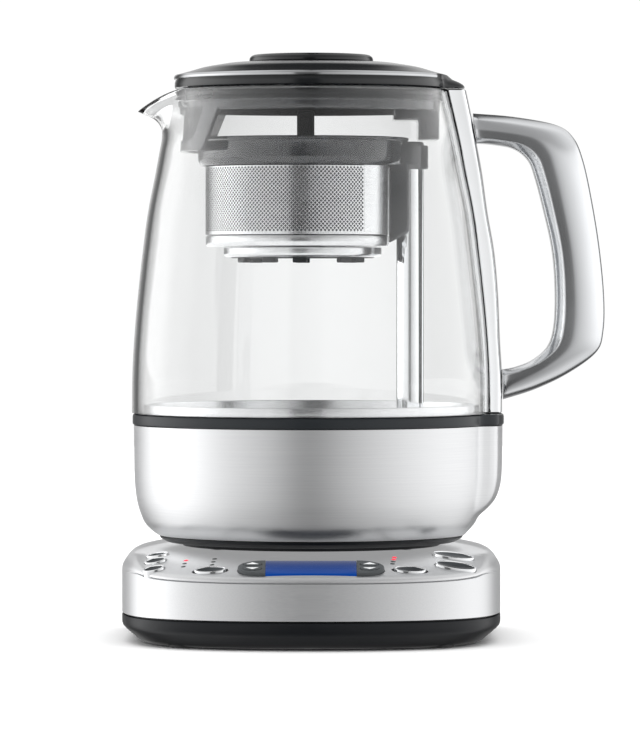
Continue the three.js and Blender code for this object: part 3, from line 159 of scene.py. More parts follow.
def rounded(corners, segments=5):
    """Points through (radius, height, rounding) corners, each corner turned into a small curve."""
    points = []
    for i, (r, z, fillet) in enumerate(corners):
        here = Vector((r, z))
        if fillet <= 0 or i in (0, len(corners) - 1):
            points.append((r, z))
            continue
        before = Vector(corners[i - 1][:2]) - here
        after = Vector(corners[i + 1][:2]) - here
        reach = min(fillet, before.length * 0.49, after.length * 0.49)
        first = here + before.normalized() * reach
        last = here + after.normalized() * reach
        for k in range(segments + 1):
            t = k / segments
            point = first * (1 - t) ** 2 + here * (2 * t * (1 - t)) + last * t ** 2
            points.append((point.x, point.y))
    return points


def between(rows, low, top):
    """Turn each row's end (0 low, 1 top, 2 the ground) and offset in millimetres into one height."""
    ends = (low, top, 0)
    return [(first, ends[end] + offset * mm, *rest) for first, end, offset, *rest in rows]


def corner_profile(corners, segments, low=0, top=0, radius=0):
    """Rounded profile of corners in millimetres, each a distance outwards, end, offset and rounding."""
    placed_corners = between(corners, low, top)
    return rounded([(radius + out * mm, z, fillet * mm) for out, z, fillet in placed_corners], segments)


def plug(radius, low, high):
    """The profile of a plain round plug, which serves as a cutting tool."""
    return [(0, low), (radius, low), (radius, high), (0, high)]


def smooth_through(points, share):
    """A smooth curve through evenly spaced points, read at a share of its length."""
    place = share * (len(points) - 1)
    i = min(int(place), len(points) - 2)
    t = place - i
    before = Vector(points[max(i - 1, 0)])
    first = Vector(points[i])
    last = Vector(points[i + 1])
    after = Vector(points[min(i + 2, len(points) - 1)])
    slope_in = (last - before) / 2
    slope_out = (after - first) / 2
    return (
        first * (2 * t ** 3 - 3 * t ** 2 + 1)
        + slope_in * (t ** 3 - 2 * t ** 2 + t)
        + last * (3 * t ** 2 - 2 * t ** 3)
        + slope_out * (t ** 3 - t ** 2)
    )


def read_table(table, share):
    """A value read off a short table of (share, value) pairs, with eased slopes between them."""
    for i in range(len(table) - 1):
        if share <= table[i + 1][0]:
            break
    before = table[max(i - 1, 0)]
    first, last = table[i], table[i + 1]
    after = table[min(i + 2, len(table) - 1)]
    span = last[0] - first[0]
    t = min(max((share - first[0]) / span, 0), 1)
    slope_in = (last[1] - before[1]) / max(last[0] - before[0], 1e-9) * span
    slope_out = (after[1] - first[1]) / max(after[0] - first[0], 1e-9) * span
    return (
        first[1] * (2 * t ** 3 - 3 * t ** 2 + 1)
        + slope_in * (t ** 3 - 2 * t ** 2 + t)
        + last[1] * (3 * t ** 2 - 2 * t ** 3)
        + slope_out * (t ** 3 - t ** 2)
    )


def ease(value):
    held = min(max(value, 0), 1)
    return held * held * (3 - 2 * held)


def mix(first, second, share):
    return first + (second - first) * share


# %% Turning a piece
turning_steps = 144


def turned(name, profile, axis, steps=turning_steps, angle=32):
    """Extrude one vertex along (radius, height) points and spin the line about a vertical axis."""
    deselect()
    first = (axis.x + profile[0][0], axis.y, profile[0][1])
    bpy.ops.mesh.primitive_plane_add(size=mm, location=first)
    obj = start(name)
    bpy.ops.mesh.merge(type="CENTER")
    for (r0, z0), (r1, z1) in zip(profile, profile[1:]):
        bpy.ops.mesh.extrude_region_move(TRANSFORM_OT_translate={"value": (r1 - r0, 0, z1 - z0)})
    bpy.ops.mesh.select_all(action="SELECT")
    bpy.ops.mesh.spin(steps=steps, angle=2 * pi, center=(axis.x, axis.y, 0), axis=(0, 0, 1))
    clean()
    return finished(obj, angle)


# %% Drawing a piece out of rings


def drawn(name, rings, ring_closed=False, angle=32):
    """Extrude a loop of edges ring by ring, laying each new loop on its own outline."""
    deselect()
    bpy.ops.mesh.primitive_circle_add(vertices=len(rings[0]), radius=1, fill_type="NOTHING")
    obj = start(name)
    loop = list(bmesh.from_edit_mesh(obj.data).verts)
    lay(loop, rings[0])
    for ring in rings[1:] + ([rings[0]] if ring_closed else []):
        places = [tuple(vertex.co) for vertex in loop]
        bpy.ops.mesh.extrude_edges_indiv()
        found = {tuple(v.co): v for v in bmesh.from_edit_mesh(obj.data).verts if v.select}
        loop = [found[place] for place in places]
        lay(loop, ring)
    bmesh.update_edit_mesh(obj.data)
    bpy.ops.mesh.select_all(action="SELECT")
    if not ring_closed:
        bpy.ops.mesh.fill_holes(sides=0)
    clean()
    return finished(obj, angle)


def lay(loop, ring):
    for vertex, point in zip(loop, ring):
        vertex.co = point


# %% Blocks, cuts, bevels and copies


def block(name, low, high):
    """A cube primitive at its place and size."""
    deselect()
    low, high = Vector(low), Vector(high)
    bpy.ops.mesh.primitive_cube_add(size=1, location=(low + high) / 2, scale=high - low)
    return finished(start(name))


def apply(obj, modifier):
    take(obj)
    bpy.ops.object.modifier_apply(modifier=modifier.name)


def bevelled(obj, width, segments=3, angle=40):
    modifier = obj.modifiers.new("soft edges", "BEVEL")
    modifier.width = width
    modifier.segments = segments
    modifier.limit_method = "ANGLE"
    modifier.angle_limit = radians(angle)
    apply(obj, modifier)
    bpy.ops.object.shade_smooth_by_angle(angle=radians(32))
    return obj


def cut(obj, *tools):
    for tool in tools:
        modifier = obj.modifiers.new("cut", "BOOLEAN")
        modifier.operation = "DIFFERENCE"
        modifier.solver = "EXACT"
        modifier.object = tool
        apply(obj, modifier)
        bpy.data.objects.remove(tool)
    bpy.ops.object.shade_smooth_by_angle(angle=radians(32))
    return obj


def walled(obj, thickness, offset=-1):
    modifier = obj.modifiers.new("wall", "SOLIDIFY")
    modifier.thickness = thickness
    modifier.offset = offset
    modifier.use_even_offset = True
    apply(obj, modifier)
    return obj


def joined(name, pieces):
    deselect()
    for piece in pieces:
        piece.select_set(True)
    bpy.context.view_layer.objects.active = pieces[0]
    bpy.ops.object.join()
    pieces[0].name = name
    return pieces[0]


def dress(piece, made, body, node=None):
    """Give a piece its finish and the body that it rides on, and hide the solid that it stands for."""
    piece.data.materials.clear()
    piece.data.materials.append(made)
    if node:
        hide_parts(node)
    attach(piece, body)


# %% [markdown]
# ## Finishes
# Each finish is a Principled shader. What is the same all over is set on its own sockets, and what
# changes over the surface, such as brushing, grain and smudges, comes from noise on Object coordinates.

# %% Building a finish


def finish(name, colour, roughness, metallic=0.0, **sockets):
    made = bpy.data.materials.new(name)
    made.use_nodes = True
    shader = made.node_tree.nodes["Principled BSDF"]
    shader.inputs["Base Color"].default_value = (*colour, 1)
    shader.inputs["Roughness"].default_value = roughness
    shader.inputs["Metallic"].default_value = metallic
    for socket, value in sockets.items():
        shader.inputs[socket.replace("_", " ")].default_value = value
    return made


def add_node(made, kind, **values):
    node = made.node_tree.nodes.new(kind)
    for socket, value in values.items():
        node.inputs[socket.replace("_", " ")].default_value = value
    return node


def wire(made, output, target):
    made.node_tree.links.new(output, target)


def object_noise(made, scale, centre=(0, 0, 0), detail=3.0):
    """Noise on Object coordinates; scale holds the features per metre along X, Y and Z."""
    place = add_node(made, "ShaderNodeTexCoord")
    shift = [-c * s for c, s in zip(centre, scale)]
    mapping = add_node(made, "ShaderNodeMapping", Scale=scale, Location=shift)
    noise = add_node(made, "ShaderNodeTexNoise", Scale=1.0, Detail=detail)
    wire(made, place.outputs["Object"], mapping.inputs["Vector"])
    wire(made, mapping.outputs["Vector"], noise.inputs["Vector"])
    return noise.outputs["Fac"]


def spread(made, source, socket, low, high):
    """Map a noise onto a range and feed it to a socket of the shader."""
    ramp = add_node(made, "ShaderNodeMapRange", From_Min=0.3, From_Max=0.7, To_Min=low, To_Max=high)
    wire(made, source, ramp.inputs["Value"])
    wire(made, ramp.outputs["Result"], made.node_tree.nodes["Principled BSDF"].inputs[socket])


def tint(made, source, first, second):
    """Let the colour drift between two close tones."""
    ramp = add_node(made, "ShaderNodeValToRGB")
    ramp.color_ramp.elements[0].position = 0.3
    ramp.color_ramp.elements[1].position = 0.7
    ramp.color_ramp.elements[0].color = (*first, 1)
    ramp.color_ramp.elements[1].color = (*second, 1)
    wire(made, source, ramp.inputs["Fac"])
    wire(made, ramp.outputs["Color"], made.node_tree.nodes["Principled BSDF"].inputs["Base Color"])


def bump(made, source, depth, strength=1.0):
    raised = add_node(made, "ShaderNodeBump", Strength=strength, Distance=depth)
    wire(made, source, raised.inputs["Height"])
    wire(made, raised.outputs["Normal"], made.node_tree.nodes["Principled BSDF"].inputs["Normal"])


# %% [markdown]
# ### Metals
# The steel is brushed: round the jug and along the base. Brushing is noise drawn out very long in one
# direction, used for a faint relief, a change of gloss and a change of tone. The handle is cast and
# satin, and the spine, the keys and the lid's band are polished.

# %% Metals
steel_tone = (0.70, 0.705, 0.71)
steel_shade = (0.64, 0.645, 0.655)


def brushed(name, scale, roughness, depth=0.004 * mm):
    made = finish(name, steel_tone, roughness, 1.0)
    lines = object_noise(made, scale, detail=4.0)
    bump(made, lines, depth, 0.4)
    spread(made, lines, "Roughness", roughness * 0.92, roughness * 1.08)
    tint(made, lines, steel_shade, steel_tone)
    return made


def polished(name, tone=(0.82, 0.83, 0.84), roughness=0.06):
    made = finish(name, tone, roughness, 1.0)
    smudges = object_noise(made, (60, 60, 60))
    spread(made, smudges, "Roughness", roughness * 0.7, roughness * 1.6)
    tint(made, smudges, [value * 0.96 for value in tone], tone)
    return made


def satin_cast(name):
    made = finish(name, (0.68, 0.69, 0.705), 0.2, 1.0)
    grain = object_noise(made, (2500, 2500, 2500), detail=2.0)
    bump(made, grain, 0.005 * mm, 0.25)
    wear = object_noise(made, (40, 40, 25))
    spread(made, wear, "Roughness", 0.14, 0.2)
    tint(made, wear, (0.66, 0.67, 0.685), (0.7, 0.71, 0.725))
    return made


jug_steel = brushed("steel brushed round the jug", (30, 30, 5200), 0.42)
base_steel = brushed("steel brushed along the base", (18, 4200, 4200), 0.42)
basket_steel = brushed("bright steel of the basket", (300, 300, 1500), 0.2)
bright_metal = polished("polished metal")
band_metal = polished("smoked metal of the lid's band", (0.5, 0.505, 0.515))
handle_metal = satin_cast("satin cast metal")
print("metals made")

# %% [markdown]
# ### Plastics, rubber and glass
# Moulded plastic has a fine spark-eroded grain and a soft gloss. The glass is a solid wall with a
# refractive index, so its edges darken by themselves.

# %% Plastics and glass


def moulded(name, tone, roughness, grain_depth=0.02 * mm, **sockets):
    made = finish(name, tone, roughness, **sockets)
    grain = object_noise(made, (1800, 1800, 1800), detail=2.0)
    bump(made, grain, grain_depth, 0.3)
    drift = object_noise(made, (50, 50, 50))
    spread(made, drift, "Roughness", roughness * 0.85, roughness * 1.2)
    tint(made, drift, [value * 0.88 for value in tone], tone)
    return made


def clear_glass():
    made = finish("clear glass", (0.985, 0.99, 0.99), 0.0, Transmission_Weight=1.0, IOR=1.47)
    waves = object_noise(made, (35, 35, 12), detail=1.0)
    bump(made, waves, 0.05 * mm, 0.15)
    return made


lid_black = moulded("black of the lid", (0.006, 0.007, 0.008), 0.14, 0.004 * mm)
base_black = moulded("black of the tray", (0.006, 0.007, 0.009), 0.34, Specular_IOR_Level=0.22)
skirt_grey = moulded("grey of the skirt", (0.007, 0.01, 0.015), 0.11, 0.001 * mm, Specular_IOR_Level=0.9)
collar_grey = moulded("grey of the collar", (0.014, 0.017, 0.02), 0.32, Specular_IOR_Level=0.3)
pod_grey = moulded("textured grey of the display ends", (0.05, 0.056, 0.06), 0.5, 0.06 * mm)
foot_rubber = moulded("rubber", (0.03, 0.03, 0.031), 0.8, 0.04 * mm)
seal_silicone = moulded("silicone", (0.01, 0.012, 0.014), 0.24, 0.002 * mm)
nylon_white = moulded("nylon", (0.7, 0.68, 0.62), 0.5)
# A dark finish of painted shade: it stands for the shaded inside of the basket's drum, seen through the
# holes.
painted_shade_inside = moulded("painted shade inside the drum", (0.03, 0.032, 0.035), 0.5)
jug_glass = clear_glass()
print("plastics and glass made")

# %% [markdown]
# ## Power base
# The base is a rounded square block, a superellipse in plan. Its top falls to a sloping key panel at the
# front, so every ring of the cover reads its height from one surface function.

# %% Form of the base
base_half_width = (high_corner("base_cover").x - low_corner("base_cover").x) / 2
base_half_depth = (high_corner("base_cover").y - low_corner("base_cover").y) / 2
base_squareness = 5
base_points = 200
corner_crowding = 0.55
cover_wall = 1.4 * mm
crease_height = 31.8 * mm
plateau_height = 41.5 * mm
panel_slope = tan(radians(17.5))
front_bow = 22 * mm
front_bow_depth = 60 * mm
front_hold_share = 0.86
front_corner_share = 0.35
key_turn_share = 0.5
panel_blend = 4 * mm
crown_start = 45 * mm
crown_drop = 3.4 * mm
front_edge_round = 1.6 * mm
side_edge_round = 6 * mm


def base_ring(inset, height):
    ring = []
    for i in range(base_points):
        angle = 2 * pi * i / base_points
        angle += corner_crowding * sin(4 * angle) / 4
        x = abs(cos(angle)) / (base_half_width - inset)
        y = abs(sin(angle)) / (base_half_depth - inset)
        reach = (x ** base_squareness + y ** base_squareness) ** (-1 / base_squareness)
        px, py = reach * cos(angle), reach * sin(angle)
        py += front_bow * (px / base_half_width) ** 2 * ease(-py / front_bow_depth)
        z = height(px, py) if callable(height) else height
        ring.append((base_axis.x + px, base_axis.y + py, z))
    return ring


def panel_line(x):
    """The line that the key panel slopes up from; it takes the bow and part of the corners' turn."""
    share = min(abs(x) / base_half_width, front_hold_share)
    corner = (1 - share ** base_squareness) ** (1 / base_squareness)
    return front_bow * share ** 2 - base_half_depth * mix(1, corner, front_corner_share)


def cover_height(x, y):
    """Height of the steel top at a place measured from the base's axis."""
    aside = max(abs(x) - crown_start, 0) / (base_half_width - crown_start)
    crown = crown_drop * aside * aside
    panel = crease_height + panel_slope * (y - panel_line(x)) - crown / 2
    plateau = plateau_height - crown
    overlap = max(panel_blend - abs(plateau - panel), 0) / panel_blend
    return min(plateau, panel) - overlap * overlap * panel_blend / 4


def edge_round(y):
    return mix(side_edge_round, front_edge_round, front_share(y))


def front_share(y):
    return ease((-y / base_half_depth - 0.42) / 0.28)


# %% [markdown]
# The steel cover is drawn as one endless wall. Its rings climb the side, turn over the edge and close in
# on the middle, where the hub's hole will be, and run back inside; then the other holes are cut.

# %% The steel cover
edge_steps = 7
top_rings = 24
crease_groove = 0.75 * mm


def groove_rings():
    """A fine line pressed in under the crease of the front; it runs out towards the sides."""
    rings = []
    for depth, below in ((0, 2.9), (0, 2.6), (1, 2.35), (1, 1.85), (0, 1.64)):
        ring = []
        for x, y, _ in base_ring(0, 0):
            px, py = x - base_axis.x, y - base_axis.y
            inset = crease_groove * depth * front_share(py)
            px *= 1 - inset / base_half_width
            py *= 1 - inset / base_half_depth
            lowest = cover_height(px, py) - edge_round(py)
            drop = below - front_edge_round / mm
            ring.append((base_axis.x + px, base_axis.y + py, lowest - drop * mm))
        rings.append(ring)
    return rings


least_round = 0.4 * mm


def cover_rings(inset, grooved):
    """Rings of the cover's outer face, or of its inner face when an inset is given."""
    bottom = low_corner("base_cover").z
    rings = [base_ring(inset, bottom), base_ring(inset, mix(bottom, crease_height, 0.5))]
    if grooved:
        rings += groove_rings()
    for k in range(edge_steps + 1):
        turn = pi / 2 * k / edge_steps
        ring = []
        for x, y, _ in base_ring(inset, 0):
            radius = max(edge_round(y - base_axis.y) - inset, least_round)
            move = radius * (1 - cos(turn))
            px = (x - base_axis.x) * (1 - move / base_half_width)
            py = (y - base_axis.y) * (1 - move / base_half_depth)
            z = cover_height(px, py) - inset - radius * (1 - sin(turn))
            ring.append((base_axis.x + px, base_axis.y + py, z))
        rings.append(ring)
    edge = rings[-1]
    for k in range(1, top_rings + 1):
        share = 0.93 * (k / top_rings) ** 0.9
        ring = []
        for x, y, _ in edge:
            px, py = (x - base_axis.x) * (1 - share), (y - base_axis.y) * (1 - share)
            ring.append((base_axis.x + px, base_axis.y + py, cover_height(px, py) - inset))
        rings.append(ring)
    return rings


cover = drawn("cover", cover_rings(0, True) + cover_rings(cover_wall, False)[::-1], ring_closed=True)
print("cover faces:", len(cover.data.polygons))

# %% [markdown]
# Each control sits square to the panel. Its own joint gives the direction in which it is pressed, and its
# box gives the place, so a small frame is worked out for each of them.

# %% Frames on the panel
key_names = [name for name in frame["nodes"] if name.startswith("key_")]
press_axis = {}
for joint in frame["record"]["behaviour"]["joints"]:
    if joint["child"] in key_names:
        press_axis[joint["child"]] = Vector(joint["axis"]).normalized()
key_depth_middle = 1.3 * mm


def panel_frame(place, up, turn=0.0):
    """A matrix whose Z stands out of the panel at a place, with X running across it."""
    across = (Vector((1, 0, 0)) - up * up.x).normalized()
    across = Matrix.Rotation(turn, 3, up) @ across
    along = up.cross(across)
    x, y = place.x, place.y
    z = cover_height(x - base_axis.x, y - base_axis.y)
    matrix = Matrix((across, along, up)).transposed().to_4x4()
    matrix.translation = (x, y, z)
    return matrix


def key_frame(key):
    up = -press_axis[key]
    x = middle(key).x - base_axis.x
    turn = key_turn_share * atan2(2 * front_bow * x, base_half_width ** 2)
    return panel_frame(middle(key) + up * key_depth_middle, up, turn)


def slope_frame(x, y):
    step = 1.4 * mm
    rise_x = (cover_height(x + step, y) - cover_height(x - step, y)) / (2 * step)
    rise_y = (cover_height(x, y + step) - cover_height(x, y - step)) / (2 * step)
    up = Vector((-rise_x, -rise_y, 1)).normalized()
    return panel_frame(Vector((base_axis.x + x, base_axis.y + y, 0)), up)


def placed(matrix, ring):
    return [matrix @ Vector(point) for point in ring]


oval_points = 56


def oval(half_width, half_height, z):
    turns = [2 * pi * i / oval_points for i in range(oval_points)]
    return [(half_width * cos(turn), half_height * sin(turn), z) for turn in turns]


# %% [markdown]
# The keys are ovals with a polished rim and a slightly dished face. The two at the right are the largest,
# the three small ones sit at the left, and the two in the middle lie in wider dark wells.

# %% Sizes of the keys
key_sizes = {
    "key_start_auto": (10.2 * mm, 6.2 * mm),
    "key_keep_warm": (10.2 * mm, 6.2 * mm),
    "key_hot_water": (10.2 * mm, 6.2 * mm),
    "key_tea_type": (14 * mm, 7.2 * mm),
    "key_strength": (14 * mm, 7.2 * mm),
    "key_basket": (18.8 * mm, 9.2 * mm),
    "key_start": (18.8 * mm, 9.2 * mm),
}
well_keys = ("key_tea_type", "key_strength")
key_gap = 0.3 * mm
well_gap = 1.1 * mm
key_proud = 0.9 * mm
rim_width = 0.75 * mm
dish_depth = 0.9 * mm
key_foot = 3.4 * mm
key_hole_depth = 2.4 * mm
key_hole_rise = 4 * mm


def hole_tool(name, half_width, half_height, matrix, low=-key_hole_depth, high=key_hole_rise):
    return drawn(name, [placed(matrix, oval(half_width, half_height, z)) for z in (low, high)])


def cut_key_holes():
    tools = []
    for key, (width, height) in key_sizes.items():
        gap_x = well_gap if key in well_keys else key_gap
        tools.append(hole_tool("tool", width / 2 + gap_x, height / 2 + key_gap, key_frame(key)))
    cut(cover, *tools)


cut_key_holes()
print("key holes cut:", len(key_sizes))

# %% Rims and faces of the keys
dark_metal = polished("smoked metal of the key faces", (0.07, 0.075, 0.08), 0.25)
# Each ring of a rim: edge (0 outer, 1 inner), inset and rise over the key's top, in millimetres
key_rim_steps = [
    (0, 0, -0.3), (0, 0.12, -0.08), (0, 0.35, 0), (1, 0, -0.15), (1, 0.1, -0.5),
]
face_gap = 0.12 * mm
face_sink = 0.3 * mm


def key_rim(key, width, height):
    a, b = width / 2, height / 2
    edges = ((a, b), (a - rim_width * 1.3, b - rim_width))
    profile = [(a, b, -key_foot)]
    for edge, inset, rise in key_rim_steps:
        a, b = edges[edge]
        profile.append((a - inset * mm, b - inset * mm, key_proud + rise * mm))
    profile.append((*profile[-1][:2], -key_foot))
    matrix = key_frame(key)
    rings = [placed(matrix, oval(*step)) for step in profile]
    return drawn(key + "_rim", rings, ring_closed=True)


def key_face(key, width, height):
    a, b = width / 2 - rim_width * 1.3 - face_gap, height / 2 - rim_width - face_gap
    matrix = key_frame(key)
    steps = 8
    rings = [placed(matrix, oval(a, b, -key_foot))]
    for k in range(steps):
        share = 1 - k / steps
        sink = key_proud - face_sink - dish_depth * (1 - share * share)
        rings.append(placed(matrix, oval(a * share, b * share, sink)))
    return drawn(key + "_face", rings)


for key, (width, height) in key_sizes.items():
    rim = key_rim(key, width, height)
    face = key_face(key, width, height)
    rim.data.materials.append(bright_metal)
    face.data.materials.append(dark_metal)
    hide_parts(key)
    for piece in (rim, face):
        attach(piece, key)
print("keys made")

# %% [markdown]
# ## Display
# The display is a long capsule with pointed ends. Its middle is a blue screen under a bulging window, and
# its two grey ends hold a pair of arrow keys each.

# %% The display pod
pod_width = 63.6 * mm
pod_height = 16 * mm
pod_proud = 1 * mm
pod_depth = 4.4 * mm
screen_width = 39.6 * mm
pod_end_points = 24
pod_gap = 0.3 * mm
pod_room = (-12 * mm, 6 * mm)
screen_room = (-2 * mm, 3 * mm)
# Growth of each upper ring of the pod, and its rise over the pod's top, in millimetres
pod_steps = [
    (0, -0.5), (-0.15, -0.15), (-0.5, 0),
]
display_axis = -press_axis["key_time_up"]
display_place = middle("display_screen")
display_frame = panel_frame(display_place, display_axis)


def pod_outline(grow, z):
    """A rectangle as wide as the screen, with half an ellipse at each end."""
    straight = screen_width / 2
    end = pod_width / 2 - straight + grow
    half = pod_height / 2 + grow
    ring = []
    for side in (1, -1):
        for i in range(pod_end_points + 1):
            turn = side * (-pi / 2 + pi * i / pod_end_points)
            ring.append((side * (straight + end * cos(turn)), half * sin(turn), z))
    return ring


def add_pod():
    hollow = [placed(display_frame, pod_outline(pod_gap, z)) for z in pod_room]
    cut(cover, drawn("tool", hollow))
    steps = [(0, -pod_depth)] + [(grow * mm, pod_proud + rise * mm) for grow, rise in pod_steps]
    pod = drawn("pod", [placed(display_frame, pod_outline(*step)) for step in steps])
    x, y = screen_width / 2, pod_height
    rings = [[(-x, -y, z), (x, -y, z), (x, y, z), (-x, y, z)] for z in screen_room]
    cut(pod, drawn("tool", [placed(display_frame, ring) for ring in rings]))
    pod.data.materials.append(pod_grey)
    return pod


pod = add_pod()

# %% The screen and its window
window_bulge = 0.9 * mm
window_rows = 14
window_sink = 0.3 * mm
window_foot = -1.6 * mm
window_edge = 0.25 * mm
screen_gap = 0.1 * mm


def screen_blue():
    made = finish("backlit screen", (0.0, 0.01, 0.05), 0.16, Specular_IOR_Level=0.2)
    made.node_tree.nodes["Principled BSDF"].inputs["Emission Strength"].default_value = 1.0
    place = add_node(made, "ShaderNodeTexCoord")
    parts = add_node(made, "ShaderNodeSeparateXYZ")
    rise = add_node(made, "ShaderNodeMapRange", From_Min=low_corner("display_screen").z,
                    From_Max=high_corner("display_screen").z)
    ramp = add_node(made, "ShaderNodeValToRGB")
    ramp.color_ramp.elements[0].color = (0.0, 0.045, 0.27, 1)
    ramp.color_ramp.elements[1].color = (0.0, 0.014, 0.09, 1)
    wire(made, place.outputs["Object"], parts.inputs["Vector"])
    wire(made, parts.outputs["Z"], rise.inputs["Value"])
    wire(made, rise.outputs["Result"], ramp.inputs["Fac"])
    wire(made, ramp.outputs["Color"], made.node_tree.nodes["Principled BSDF"].inputs["Emission Color"])
    return made


def add_screen():
    """A strip whose section bulges like a lens, drawn from one end to the other."""
    half = screen_width / 2 - screen_gap
    section = []
    for i in range(window_rows + 1):
        y = mix(-pod_height / 2, pod_height / 2, i / window_rows)
        lift = window_bulge * (1 - (2 * y / pod_height) ** 2)
        section.append((y, pod_proud - window_sink + lift))
    section += [(pod_height / 2, window_foot), (-pod_height / 2, window_foot)]
    rings = [placed(display_frame, [(x, y, z) for y, z in section]) for x in (-half, half)]
    screen = bevelled(drawn("screen", rings), window_edge, 3, 50)
    screen.data.materials.append(screen_blue())
    screen.visible_glossy = False
    return screen


screen = add_screen()

# %% The arrow keys
arrow_white = finish("white print", (0.85, 0.86, 0.87), 0.4)
spread(arrow_white, object_noise(arrow_white, (900, 900, 900)), "Roughness", 0.35, 0.5)
arrow_keys = {"key_time_up": 1, "key_time_down": -1, "key_heat_up": 1, "key_heat_down": -1}
arrow_key_size = (8 * mm, 4.2 * mm)
arrow_size = (5.4 * mm, 2 * mm)
arrow_key_proud = 0.3 * mm
arrow_gap = 0.25 * mm
arrow_room = (-8 * mm, 4 * mm)
print_heights = (-0.05 * mm, 0.06 * mm)
# Inset, end (0 the panel, 1 the key's top) and offset of each ring, in millimetres
arrow_key_steps = [
    (0, 0, -3), (0, 1, -0.4), (0.12, 1, -0.1), (0.45, 1, 0),
]


def arrow_key(key, way):
    up = press_axis[key] * -1
    local = display_frame.inverted() @ middle(key)
    a, b = arrow_key_size[0] / 2, arrow_key_size[1] / 2
    top = pod_proud + arrow_key_proud
    rings = []
    for inset, z in between(arrow_key_steps, 0, top):
        ring = [(x + local.x, y + local.y, z) for x, y, z in oval(a - inset * mm, b - inset * mm, z)]
        rings.append(placed(display_frame, ring))
    key_body = drawn(key + "_cap", rings)
    key_body.data.materials.append(pod_grey)
    half = arrow_size[0] / 2
    foot, tip = -way * arrow_size[1] * 0.35, way * arrow_size[1] * 0.65
    corners = [(-half, foot), (half, foot), (half * 0.8, foot * 0.2), (0, tip), (-half * 0.8, foot * 0.2)]
    sign_rings = []
    for z in print_heights:
        sign_rings.append(placed(display_frame, [(x + local.x, y + local.y, top + z) for x, y in corners]))
    sign = drawn(key + "_arrow", sign_rings)
    sign.data.materials.append(arrow_white)
    return key_body, sign


def cut_arrow_rooms():
    tools = []
    for key in arrow_keys:
        local = display_frame.inverted() @ middle(key)
        rings = []
        for z in arrow_room:
            ring = oval(arrow_key_size[0] / 2 + arrow_gap, arrow_key_size[1] / 2 + arrow_gap, z)
            rings.append(placed(display_frame, [(x + local.x, y + local.y, h) for x, y, h in ring]))
        tools.append(drawn("tool", rings))
    cut(pod, *tools)


cut_arrow_rooms()
for key, way in arrow_keys.items():
    cap, sign = arrow_key(key, way)
    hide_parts(key)
    for piece in (cap, sign):
        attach(piece, key)
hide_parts("display_pod")
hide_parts("display_screen")
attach(pod, "power_base")
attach(screen, "power_base")
print("display made")

# %% [markdown]
# ## Signal lamps
# Ten small lamps stand in three columns. Three of them are lit red. Each shows as a lens in a hole of
# its own, and the light bar behind them is the piece that they stand for.

# %% Lamp lenses
lamp_size = (2.1 * mm, 1.7 * mm)
lamp_columns = {
    "lamp_bar_left": (3, (0,), 3.6 * mm),
    "lamp_bar_middle": (3, (), 3.6 * mm),
    "lamp_bar_right": (4, (0, 1), 4.3 * mm),
}
lamp_lean = 0.5 * mm
lamp_gap = 0.1 * mm
lamp_room = (-6 * mm, 4 * mm)
# Growth and height of each ring of a lens, in millimetres
lens_steps = [
    (0, -3), (0, -0.05), (-0.15, 0.12), (-0.45, 0.22),
]


def lamp_lit():
    made = finish("lit red lamp", (0.5, 0.02, 0.03), 0.2, Emission_Strength=0.9)
    made.node_tree.nodes["Principled BSDF"].inputs["Emission Color"].default_value = (0.9, 0.02, 0.06, 1)
    spread(made, object_noise(made, (2000, 2000, 2000)), "Roughness", 0.15, 0.3)
    return made


def lamp_dark():
    made = finish("dark lamp", (0.04, 0.045, 0.045), 0.2)
    tint(made, object_noise(made, (1500, 1500, 1500)), (0.03, 0.035, 0.035), (0.05, 0.055, 0.055))
    return made


lit_lens = lamp_lit()
dark_lens = lamp_dark()


def add_lamps(bar, count, lit, lamp_spread):
    place = middle(bar)
    frame_here = slope_frame(place.x - base_axis.x, place.y - base_axis.y)
    lenses = []
    for i in range(count):
        y = mix(lamp_spread, -lamp_spread, i / (count - 1))
        x = lamp_lean * y / lamp_spread
        tool = []
        for z in lamp_room:
            ring = oval(lamp_size[0] / 2 + lamp_gap, lamp_size[1] / 2 + lamp_gap, z)
            tool.append(placed(frame_here, [(px + x, py + y, pz) for px, py, pz in ring[::4]]))
        cut(cover, drawn("tool", tool))
        rings = []
        for grow, z in lens_steps:
            ring = oval(lamp_size[0] / 2 + grow * mm, lamp_size[1] / 2 + grow * mm, z * mm)
            rings.append(placed(frame_here, [(px + x, py + y, pz) for px, py, pz in ring[::2]]))
        lens = drawn(bar + "_lens_" + str(i), rings)
        lens.data.materials.append(lit_lens if i in lit else dark_lens)
        lens.visible_glossy = False
        lenses.append(lens)
    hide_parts(bar)
    for lens in lenses:
        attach(lens, "power_base")


for bar, (count, lit, lamp_spread) in lamp_columns.items():
    add_lamps(bar, count, lit, lamp_spread)
print("lamps made")

# %% [markdown]
# The hub stands in a round hole of the plateau, and a cord would enter through a gland at the back.

# %% Holes for the hub and the gland
hub_hole_radius = 26 * mm
hub_hole_heights = (30 * mm, 60 * mm)
gland_hole_radius = 5.7 * mm
gland_hole_depth = 18 * mm


def cut_round_holes():
    axis = middle("power_hub")
    low, high = hub_hole_heights
    hub_tool = turned("tool", plug(hub_hole_radius, low, high), axis, 72)
    gland = middle("cord_gland")
    deselect()
    bpy.ops.mesh.primitive_cylinder_add(vertices=48, radius=gland_hole_radius, depth=gland_hole_depth,
                                        location=(gland.x, high_corner("base_cover").y, gland.z),
                                        rotation=(pi / 2, 0, 0))
    gland_tool = finished(start("tool"))
    cut(cover, hub_tool, gland_tool)


cut_round_holes()
dress(cover, base_steel, "power_base", "base_cover")
print("cover faces after the cuts:", len(cover.data.polygons))

# %% [markdown]
# The tray is a black tub with a bevelled foot. It carries four rubber feet in shallow pockets.

# %% Tray and feet
foot_names = ["foot_1", "foot_2", "foot_3", "foot_4"]
foot_pocket_radius = 8.3 * mm
foot_pocket_overrun = 2 * mm
foot_pocket_top = 3.5 * mm
